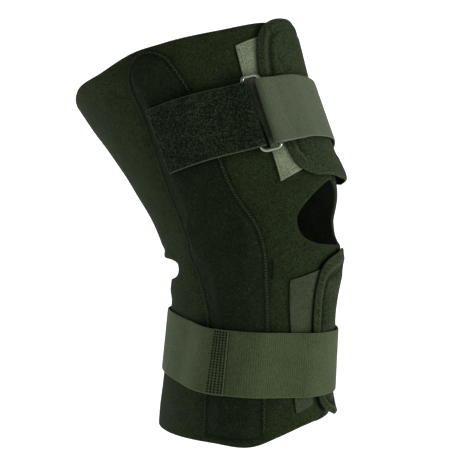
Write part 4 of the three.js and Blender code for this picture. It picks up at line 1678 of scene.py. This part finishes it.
@dataclass
class Pocket:
    """A hinge pocket and the seam round it, on the outer side (1) or the inner side (-1)."""

    side: int
    name: str
    edge_rolls: tuple[tuple[float, ...], ...] = ((0.35, 1.9, 1.1), (-0.55, 3.7, 0.9), (0.4, 6.5, 2.5))
    seam_insets: tuple[float, float] = (0.4, 2.6)
    seam_shares: tuple[float, float] = (0.72, 0.95)
    seam_pitch: float = 2.2

    def outline(self) -> Array:
        """The flat pocket's edge.

        Returns:
            Flat points round the edge.
        """
        rounding = POCKET.top - POCKET.top_radius * (1 - np.sin(np.linspace(0.02, 1, 16) * math.pi / 2))
        heights = np.concatenate([steps(POCKET.bottom, POCKET.top - POCKET.top_radius - 1, 3), rounding])
        half = POCKET.half_width(np.minimum(heights, POCKET.top - 1e-3))
        right = np.stack([half, heights], -1)
        left = np.stack([-half, heights], -1)[::-1]
        along_hem = steps(-half[0], half[0], 3)
        hem = np.stack([along_hem, np.full_like(along_hem, heights[0])], -1)
        loop = np.vstack([right, left[1:], hem[1:-1]])
        loop[:, 1] = np.maximum(loop[:, 1], POCKET.hem(POCKET.angle(loop[:, 1], loop[:, 0], self.side)))
        return resample(loop, 1.6, True)

    def place(self, x: Array, y: Array, lift: Array) -> Array:
        """A point of the pocket from its flat place."""
        return LEG.at(y, POCKET.angle(y, x, self.side), lift)

    def relief(self, x: Array, y: Array, inset: Array) -> Array:
        """The sewn edge's rolls, its puckers and the swell in front of the hub, in millimetres.

        Args:
            x: Millimetres across the pocket.
            y: Millimetres up the leg.
            inset: Millimetres in from the cut edge.

        Returns:
            The rise in millimetres.
        """
        pucker = 0.25 * np.sin(y / 1.9) * bump(inset, 4.5, 2.5)
        swell = 0.9 * bump(y, 6, 26) * bump(inset, 8, 4) * (x < 0)
        rise = pucker + rolls(self.edge_rolls, inset) + swell + 0.25 * np.sin(y / 17) * bump(x, 0, 14)
        return rise * pressed(y, POCKET.angle(y, x, self.side))

    def build(self) -> bpy.types.Object:
        """Makes the pocket, the zigzag along its edge and, beside it, a short bar of black stitches that
        paints the shade of a small notch at the seam's end.

        Returns:
            The pocket.
        """
        outline = self.outline()
        panel = Panel(self.name, [outline], self.place, lambda x, y: POCKET.lift(y, x), POCKET_THICKNESS,
                      spacing=1.7, relief=self.relief, thin_edge=0.5)
        node = "outer_hinge_pocket" if self.side > 0 else "inner_hinge_pocket"
        made = settle(panel.build(POCKET_KNIT), "pocket_knit", node)
        stretched(made, (64, 300), "neoprene_sleeve")
        loop = resample(outline, 1.2, True)
        loop = np.roll(loop, -int(np.argmin(loop[:, 1] + 0.01 * np.abs(loop[:, 0]))), 0)
        clear = loop[:, 1] > POCKET.hem(POCKET.angle(loop[:, 1], loop[:, 0], self.side)) + 4
        sides, way = loop[clear], inward(loop)[clear]
        rows = []
        for inset, share in zip(self.seam_insets, self.seam_shares):
            line = sides + way * inset
            lift = POCKET.lift(line[:, 1], line[:, 0]) + POCKET_THICKNESS * share
            rows.append(self.place(line[:, 0], line[:, 1], lift))
        outward = LEG.outward(sides[:, 1], POCKET.angle(sides[:, 1], sides[:, 0], self.side))
        front = sides[:, 0] < 8
        kind = StitchKind(length=2.0, width=0.7, height=0.6, jitter=0.3)
        for label, thread, part in (("front", DULL_THREAD, front), ("rear", DARK_THREAD, ~front)):
            seam = Seam(f"{self.name}_{label}_stitches", kind, thread)
            seam.zigzag(rows[0][part], rows[1][part], outward[part], self.seam_pitch)
            seam.build("pocket_knit")
        self.notch_shade_mark()
        return made

    def notch_shade_mark(self) -> None:
        """Sews a short bar of black stitches on the sleeve, in front of the pocket below the knee, as
        painted shade for the small shadowed notch at the end of the pocket's seam.
        """
        bar = Seam(self.name + "_bartack", StitchKind(length=2.3, width=1.5, height=0.7), BLACK_THREAD)
        heights = np.linspace(-18.5, -28.0, 12)
        angle = self.side * np.linspace(48.6, 48.0, 12)
        bar.row(LEG.at(heights, angle, np.full_like(heights, 0.5)), LEG.outward(heights, angle), 1.7)
        bar.build("neoprene")


@dataclass
class HookTape:
    """A strip of hook tape sewn to the sleeve."""

    name: str
    node: str
    strip: HookStrip
    finish: ClothFinish
    seam_inset: float = 2.0

    def build(self) -> bpy.types.Object:
        """Makes the tape and the row of stitches round it.

        Returns:
            The tape.
        """
        strip = self.strip
        share = np.linspace(0, 1, 60)
        near = np.stack([strip.near(share) * MM_PER_DEGREE, strip.height(share, strip.near(share))], -1)
        inner = np.full(2, strip.inner_angle)
        far = np.stack([inner * MM_PER_DEGREE, strip.height(np.array([1.0, 0.0]), inner)], -1)
        loop = resample(np.vstack([near, far]), 1.5, True)
        panel = Panel(self.name, [loop], LEG.laid, level(GAP), HOOK_THICKNESS, spacing=2.2)
        made = settle(panel.build(self.finish), "hook_tape", self.node)
        stretched(made, (38, strip.top - strip.bottom), "neoprene_sleeve")
        inset = self.seam_inset / (strip.top - strip.bottom)
        share = np.linspace(inset, 1 - inset, 80)
        rows = [(share, strip.near(share) - self.seam_inset / MM_PER_DEGREE)]
        for share in (inset, 1 - inset):
            angles = steps(strip.inner_angle, strip.near(np.array(share)).item() - 1.6, 1)
            rows.append((np.full_like(angles, share), angles))
        seam = Seam(self.name + "_stitches", StitchKind(length=2.0, width=0.4, height=0.3), GREY_THREAD)
        for share, angle in rows:
            height = strip.height(share, angle)
            top = np.full_like(angle, GAP + HOOK_THICKNESS)
            seam.row(LEG.at(height, angle, top), LEG.outward(height, angle), 2.6)
        seam.build("hook_tape")
        return made


@dataclass
class ClosingFlap:
    """A neoprene flap with its rolled hem and double row of stitches."""

    name: str
    node: str
    flap: Flap
    hem: float = 9.0
    row_gap: float = 2.0

    def outline(self) -> Array:
        """The flat flap's edge.

        Returns:
            Flat points round the edge.
        """
        share = (1 - np.cos(np.linspace(0, math.pi, 90))) / 2
        heights = self.flap.bottom + share * (self.flap.top - self.flap.bottom)
        near = np.stack([self.flap.near_at(heights) * MM_PER_DEGREE, heights], -1)
        far = np.stack([self.flap.far_at(heights) * MM_PER_DEGREE, heights], -1)[::-1]
        return resample(np.vstack([near, far]), 1.6, True)

    def hemmed(self, x: Array, y: Array) -> Array:
        """The share of the hem that shows at a place: it fades out along the upper flap's two ends.

        Args:
            x: Millimetres round the leg, laid flat.
            y: Millimetres up the leg.

        Returns:
            A share from 0 to 1.
        """
        if self.flap.lower:
            return np.ones_like(x)
        angle, along = x / MM_PER_DEGREE, self.flap.share(y)
        low = smooth((0.22 - along) / 0.08) * smooth((21 - angle) / 5)
        high = 0.6 * smooth((along - 0.86) / 0.06) * smooth((19 - angle) / 9)
        return 1 - np.maximum(low, high)

    def relief(self, x: Array, y: Array, inset: Array) -> Array:
        """The rolled hem, the groove of its seam and soft creases, in millimetres.

        Args:
            x: Millimetres round the leg, laid flat.
            y: Millimetres up the leg.
            inset: Millimetres in from the cut edge.

        Returns:
            The rise in millimetres.
        """
        angle = x / MM_PER_DEGREE
        pucker = 0.18 * np.sin((x + y) / 1.1) * bump(inset, self.hem - self.row_gap, 1.6)
        table = ((1.1, RIDGE_SHARE * self.hem, 2.0), (-1.4, self.hem, 1.2), (0.5, self.hem + 3, 1.8))
        hem = rolls(table, inset) * smooth((angle + 26) / 12)
        across, along = angle - 15 - (y - 100) / 9, y - 106
        if self.flap.lower:
            across, along = angle - 2 - (y + 60) / 12, y + 52
        crease = rolls(((1.0, 1.6, 1.5), (-1.1, -0.4, 1.0)), across)
        wave = 0.45 * np.sin(y / 13 + angle / 8)
        soft = (crease * bump(along, 0, 24) + wave) * smooth((inset - 10) / 4)
        return ((hem + pucker) * self.hemmed(x, y) + soft) * pressed(y, angle)

    def build(self) -> bpy.types.Object:
        """Makes the flap and its stitches.

        Returns:
            The flap.
        """
        outline = self.outline()
        panel = Panel(self.name, [outline], LEG.laid, lambda x, y: self.flap.under(y, x / MM_PER_DEGREE),
                      FLAP_THICKNESS, spacing=1.3, relief=self.relief, thin_edge=0.75, thin_over=5.0,
                      hemmed=self.hemmed)
        made = settle(panel.build(FLAP_KNIT, LINING), "flap_neoprene", self.node)
        stretched(made, (110, self.flap.top - self.flap.bottom + 2), "neoprene_sleeve")
        loop = resample(outline, 1.2, True)
        for label, inset in (("stitches", self.hem), ("edge_stitches", self.hem - self.row_gap)):
            seam = Seam(f"{self.name}_{label}", StitchKind(length=2.0, width=0.6, height=0.45), BLACK_THREAD)
            line = loop + inward(loop) * inset
            shown = inside_loops([loop], line) & (self.hemmed(line[:, 0], line[:, 1]) > 0.3)
            for x, y in (part.T for part in runs(line, shown)):
                lift = self.flap.under(y, x / MM_PER_DEGREE) + FLAP_THICKNESS
                lift = lift + self.relief(x, y, np.full_like(y, inset)) + 0.05
                seam.row(LEG.laid(x, y, lift), LEG.outward(y, x / MM_PER_DEGREE), 2.7)
            seam.build("flap_neoprene")
        return made


def pressed(height: Array, angle: Array) -> Array:
    """The share of a soft rise that is left at a place, which is small below the straps.

    Args:
        height: Millimetres up the leg.
        angle: Degrees round the leg from the front.

    Returns:
        A share from 0.2 to 1.
    """
    left = np.ones(np.broadcast(height, angle).shape)
    for path in (UPPER_PATH, LOWER_PATH):
        away = np.abs(height - path.height(angle)) - STRAP_WIDTH / 2
        left = np.minimum(left, 0.2 + 0.8 * smooth(away / 5))
    return left


def stitch_box(name: str, path: StrapPath, lift: Callable[[Array], Array], start: float) -> None:
    """Sews a box of stitches near a strap's cut end, in five rows across the strap.

    The strap runs on from that end towards larger angles.

    Args:
        name: the strap's name.
        path: the way that the strap takes.
        lift: the lift of the strap's underside.
        start: the cut end's place.
    """
    seam = Seam(name + "_box", StitchKind(length=1.7, width=1.7, height=0.6), BLACK_THREAD)
    across = np.linspace(-STRAP_WIDTH / 2 + 1.0, STRAP_WIDTH / 2 - 1.0, 40)
    for column in range(5):
        from_end = 1.6 + column * 2.15
        along = np.full_like(across, start + from_end)
        rise = lift(along) + ELASTIC_THICKNESS * sewn_flat(from_end)
        points = path.point(along, across, rise)
        seam.row(points, path.point(along, across, rise + 1) - points, 2.0)
    seam.build("elastic_webbing")


@dataclass
class CinchStrap:
    """The upper strap: loop webbing through the ring, and elastic from the ring across the flap."""

    path: StrapPath = UPPER_PATH
    rear_angle: float = 41.5
    bar_spacing: float = 11.6
    anchor_length: float = 62.0
    free_length: float = 67.0
    return_length: float = 22.0
    elastic_length: float = 186.0
    corner_radius: float = 3.4
    side_clearance: float = 2.0
    wire_sides: int = 16
    pile_share: float = 1.06
    elastic_share: float = 1.12

    @property
    def fold_inside(self) -> float:
        """The inside radius of a strap's fold round a bar."""
        return WIRE_RADIUS + GAP

    def layers(self, bar: float, way: int, thickness: float, lengths: tuple[float, float]) -> tuple:
        """The lifts of a folded strap's two layers and of its bar.

        Args:
            bar: the bar's place along the path.
            way: 1 where the layers run towards larger angles, or -1.
            thickness: the strap's thickness.
            lengths: the under and the over layer's lengths.

        Returns:
            The under layer's lift, the over layer's lift and the bar's lift.
        """
        under_length, over_length = lengths

        def cover(along: Array) -> Array:
            """What the strap lies on."""
            return self.path.cover(bar + way * np.asarray(along))

        under = faceted(taut(cover, 0, under_length), 1.2, under_length)
        bar_lift = float(under(0.0)) + thickness + self.fold_inside
        bar_top = bar_lift + self.fold_inside

        def stacked(along: Array) -> Array:
            """What the over layer lies on."""
            return np.where(along > under_length + 2, cover(along), under(along) + thickness + GAP)

        tight = taut(stacked, 0, over_length)

        def over(along: Array) -> Array:
            """The over layer's lift."""
            return np.maximum(tight(along), bar_top - STRAP_SLOPE * np.maximum(np.asarray(along) - 1.5, 0))

        return under, over, bar_lift

    def folded(
        self, name: str, bar: float, way: int, thickness: float, lengths: tuple[float, float], layers: tuple,
        pressed_ends: bool = False,
    ) -> Ribbon:
        """A strap folded back round a bar.

        Args:
            name: the piece's name.
            bar: the bar's place along the path.
            way: 1 or -1, the way that both layers run.
            thickness: the strap's thickness.
            lengths: the under and the over layer's lengths.
            layers: the lifts from layers().
            pressed_ends: whether stitches press its ends flat.

        Returns:
            The strap, ready to build.
        """
        under, over, bar_lift = layers
        radius = self.fold_inside + thickness / 2
        back = steps(lengths[0], 1.2, 3)
        turn = np.radians(np.linspace(-90, -270, 15))
        out = np.concatenate([np.linspace(1.2, 12, 9), steps(13, lengths[1], 3)])
        line = np.vstack([
            np.stack([bar + way * back, under(back) + thickness / 2], -1),
            np.stack([bar + way * radius * np.cos(turn), bar_lift + radius * np.sin(turn)], -1),
            np.stack([bar + way * out, over(out) + thickness / 2], -1),
        ])
        return Ribbon(name, self.path, line, thickness, spacing=1.3, pressed_ends=pressed_ends)

    def build_ring(self, bars: tuple[float, float], lifts: tuple[float, float]) -> bpy.types.Object:
        """Makes the wire ring.

        Args:
            bars: the rear and the front bar's place along the path.
            lifts: their lifts.

        Returns:
            The ring.
        """
        half = STRAP_WIDTH / 2 + self.side_clearance + WIRE_RADIUS
        radius = self.corner_radius

        def place(long: Array, short: Array) -> Array:
            """A point in the ring's own plane.

            Args:
                long: Millimetres along the bars.
                short: Millimetres from bar to bar, from the middle.

            Returns:
                The point, in millimetres.
            """
            rear = self.path.point(np.full_like(long, bars[0]), long, np.full_like(long, lifts[0]))
            front = self.path.point(np.full_like(long, bars[1]), long, np.full_like(long, lifts[1]))
            return front + (rear - front) * (short / self.bar_spacing + 0.5)[..., None]

        xs, ys, turns = [], [], []
        for quarter, (a, b) in enumerate(((1, 1), (-1, 1), (-1, -1), (1, -1))):
            turn = np.radians((quarter + np.linspace(0, 1, 12)) * 90)
            xs.append(a * (half - radius) + radius * np.cos(turn))
            ys.append(b * (self.bar_spacing / 2 - radius) + radius * np.sin(turn))
            turns.append(turn)
            if a == b:
                xs.append(np.linspace(a * (half - radius), -a * (half - radius), 14)[1:-1])
                ys.append(np.full(12, b * self.bar_spacing / 2))
                turns.append(np.full(12, turn[-1]))
        x, y, turn = (np.concatenate(v) for v in (xs, ys, turns))
        at = place(x, y)
        outward = unit(place(x + np.cos(turn), y + np.sin(turn)) - at)
        upward = unit(np.cross(place(x + 1, y) - at, place(x, y + 1) - at))
        spin = np.linspace(0, 2 * math.pi, self.wire_sides, endpoint=False)[None, :, None]
        spokes = outward[:, None] * np.cos(spin) + upward[:, None] * np.sin(spin)
        points = (at[:, None] + spokes * WIRE_RADIUS).reshape(-1, 3)
        faces = tube_faces(points, len(at), True)
        made = write_mesh("wire_ring", points, faces, np.zeros((len(points), 2)), np.full(len(points), 9.0))
        made.data.materials.append(PLATED_STEEL.material())
        return settle(made, "plated_steel", "ring")

    def build(self) -> list[bpy.types.Object]:
        """Makes both straps and the ring.

        Returns:
            The pieces.
        """
        rear = self.path.along(self.rear_angle)
        front = rear - self.bar_spacing
        pile_lengths = (self.anchor_length, self.free_length)
        elastic_lengths = (self.return_length, self.elastic_length)
        pile_layers = self.layers(rear, 1, PILE_THICKNESS, pile_lengths)
        elastic_layers = self.layers(front, -1, ELASTIC_THICKNESS, elastic_lengths)
        pile = self.folded("loop_webbing", rear, 1, PILE_THICKNESS, pile_lengths, pile_layers)
        elastic = self.folded(
            "upper_elastic", front, -1, ELASTIC_THICKNESS, elastic_lengths, elastic_layers, True
        )
        made_pile = settle(pile.build(PILE_WEBBING), "pile_webbing", "pile_strap")
        pile_flat = (STRAP_WIDTH, pile.length * self.pile_share)
        stretched(made_pile, pile_flat, "outer_hinge_pocket_cloth", "wire_ring")
        made_elastic = settle(elastic.build(UPPER_ELASTIC), "elastic_webbing", "upper_elastic_strap")
        elastic_flat = (STRAP_WIDTH, elastic.length * self.elastic_share)
        stretched(made_elastic, elastic_flat, "upper_closing_flap", "wire_ring")
        ring = self.build_ring((rear, front), (pile_layers[2], elastic_layers[2]))
        end = front - self.elastic_length
        stitch_box("upper_elastic", self.path, lambda along: elastic_layers[1](front - along), end)
        return [made_pile, made_elastic, ring]


@dataclass
class CalfStrap:
    """The lower strap: a front and a rear band, each over the other at one end, sewn at both laps."""

    path: StrapPath = LOWER_PATH
    rear_start: float = 72.0
    rear_end: float = 272.0
    front_start: float = -122.0
    front_end: float = 84.0
    flat_share: float = 1.1

    def build(self) -> list[bpy.types.Object]:
        """Makes both bands and the stitching of their laps.

        Returns:
            The bands.
        """
        path = self.path
        f0, f1 = path.along(self.front_start), path.along(self.front_end)
        r0, r1 = path.along(self.rear_start), path.along(self.rear_end)
        turn = r1 - path.along(self.rear_end - 360)
        front_under = faceted(taut(path.cover, f0, f1), f0, f1)
        rear_under = faceted(taut(path.cover, r0, r1), r0, r1)
        layer = ELASTIC_THICKNESS + GAP

        def over_rear(along: Array) -> Array:
            """What the front band lies on."""
            return np.where(along <= r1 - turn + 2, rear_under(along + turn) + layer, path.cover(along))

        def over_front(along: Array) -> Array:
            """What the rear band lies on."""
            return np.where(along <= f1 + 2, front_under(along) + layer, path.cover(along))

        made = []
        bands = (("calf_band_front", "lower_strap_front", taut(over_rear, f0, f1), f0, f1),
                 ("calf_band_rear", "lower_strap_rear", taut(over_front, r0, r1), r0, r1))
        for name, node, lift, start, end in bands:
            along = steps(start, end, 3)
            line = np.stack([along, lift(along) + ELASTIC_THICKNESS / 2], -1)
            band = Ribbon(name, path, line, ELASTIC_THICKNESS, pressed_ends=True)
            piece = settle(band.build(LOWER_ELASTIC), "elastic_webbing", node)
            stretched(piece, (STRAP_WIDTH, band.length * self.flat_share), "neoprene_sleeve")
            made.append(piece)
            stitch_box(name, path, lift, start)
        return made


@dataclass
class Studio:
    """The pale floor and backdrop, the soft lights and the camera."""

    camera_at: tuple[float, float, float] = (-0.67111, -0.44677, 0.00632)
    azimuth: float = -55.0
    lens: float = 80.55
    floor: float = -0.30
    light_distance: float = 1.7

    def build(self) -> None:
        """Sets up the whole studio."""
        self.backdrop()
        self.lights()
        self.camera()

    def backdrop(self) -> None:
        """Makes a seamless pale sweep: a floor that curves up into a wall behind the brace."""
        back = Vector((math.sin(math.radians(self.azimuth)), -math.cos(math.radians(self.azimuth)), 0))
        side = Vector((math.cos(math.radians(self.azimuth)), math.sin(math.radians(self.azimuth)), 0))
        profile = [(6.0, 0.0), (-1.0, 0.0)]
        turns = np.linspace(0.1, math.pi / 2, 14)
        profile += [(-1.0 - 2.0 * math.sin(t), 2.0 - 2.0 * math.cos(t)) for t in turns]
        profile.append((-3.0, 6.0))
        points, faces = [], []
        for along, up in profile:
            for across in (-7.0, 7.0):
                points.append(back * along + side * across + Vector((0, 0, self.floor + up)))
        for i in range(len(profile) - 1):
            faces.append((2 * i, 2 * i + 1, 2 * i + 3, 2 * i + 2))
        mesh = bpy.data.meshes.new("backdrop")
        mesh.from_pydata([tuple(p) for p in points], [], faces)
        mesh.shade_smooth()
        sweep = in_scene("backdrop", mesh)
        paper = bpy.data.materials.new("Backdrop paper")
        paper.use_nodes = True
        shader = paper.node_tree.nodes["Principled BSDF"]
        shader.inputs["Base Color"].default_value = (0.93, 0.93, 0.93, 1)
        shader.inputs["Roughness"].default_value = 0.95
        shader.inputs["Emission Color"].default_value = (1, 1, 1, 1)
        shader.inputs["Emission Strength"].default_value = 0.6
        mesh.materials.append(paper)

    def lights(self) -> None:
        """Adds a pale sky, a broad key light from the front, a weak fill and a light from behind."""
        world = bpy.data.worlds.new("Studio air")
        bpy.context.scene.world = world
        world.use_nodes = True
        air = world.node_tree.nodes["Background"]
        air.inputs["Color"].default_value = (1, 1, 1, 1)
        air.inputs["Strength"].default_value = 0.4
        for name, azimuth, height, size, power in (
            ("key", 14.0, -0.2, 0.7, 28.0),
            ("fill", -60.0, -0.5, 1.4, 2.2),
            ("rim", -165.0, 0.2, 1.2, 9.0),
        ):
            a = math.radians(azimuth)
            at = Vector((math.sin(a) * self.light_distance, -math.cos(a) * self.light_distance, height))
            lamp = bpy.data.lights.new(name, "AREA")
            lamp.shape = "DISK"
            lamp.size = size
            lamp.energy = power
            shown = in_scene(name, lamp)
            shown.location = at
            shown.rotation_euler = (-at).to_track_quat("-Z", "Y").to_euler()

    def camera(self) -> None:
        """Puts the camera level with the knee, on its outer side towards the front."""
        data = bpy.data.cameras.new("camera")
        data.lens = self.lens
        data.sensor_width = 36.0
        data.clip_start, data.clip_end = 0.01, 50.0
        camera = in_scene("camera", data)
        a = math.radians(self.azimuth)
        back = Vector((math.sin(a), -math.cos(a), 0))
        camera.location = self.camera_at
        camera.rotation_euler = (-back).to_track_quat("-Z", "Y").to_euler()
        bpy.context.scene.camera = camera
        view = bpy.context.scene.view_settings
        view.view_transform = "Standard"
        view.look = "None"


def dress_hinges() -> None:
    """Gives the plain hinge plates in the pockets their steel."""
    for name in ("outer_hinge", "inner_hinge"):
        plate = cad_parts[name]
        plate.data.materials.clear()
        plate.data.materials.append(HINGE_STEEL.material())
        log.info("%s: steel", name)


def main() -> None:
    """Builds the brace, piece by piece."""
    logging.basicConfig(level=logging.INFO, format="%(name)s: %(message)s")
    GROUPS.update(mottle=mottle_group(), edge=edge_group(), knit=knit_group(), rib=rib_group())
    Sleeve().build()
    Pocket(1, "outer_hinge_pocket_cloth").build()
    Pocket(-1, "inner_hinge_pocket_cloth").build()
    HookTape("upper_hook_tape", "upper_hook_strip", UPPER_HOOK, HOOK_TAPE).build()
    HookTape("lower_hook_tape", "lower_hook_strip", LOWER_HOOK, LOWER_HOOK_TAPE).build()
    ClosingFlap("upper_closing_flap", "upper_flap", UPPER_FLAP).build()
    ClosingFlap("lower_closing_flap", "lower_flap", LOWER_FLAP).build()
    CinchStrap().build()
    CalfStrap().build()
    dress_hinges()
    Studio().build()


if __name__ == "__main__":
    main()
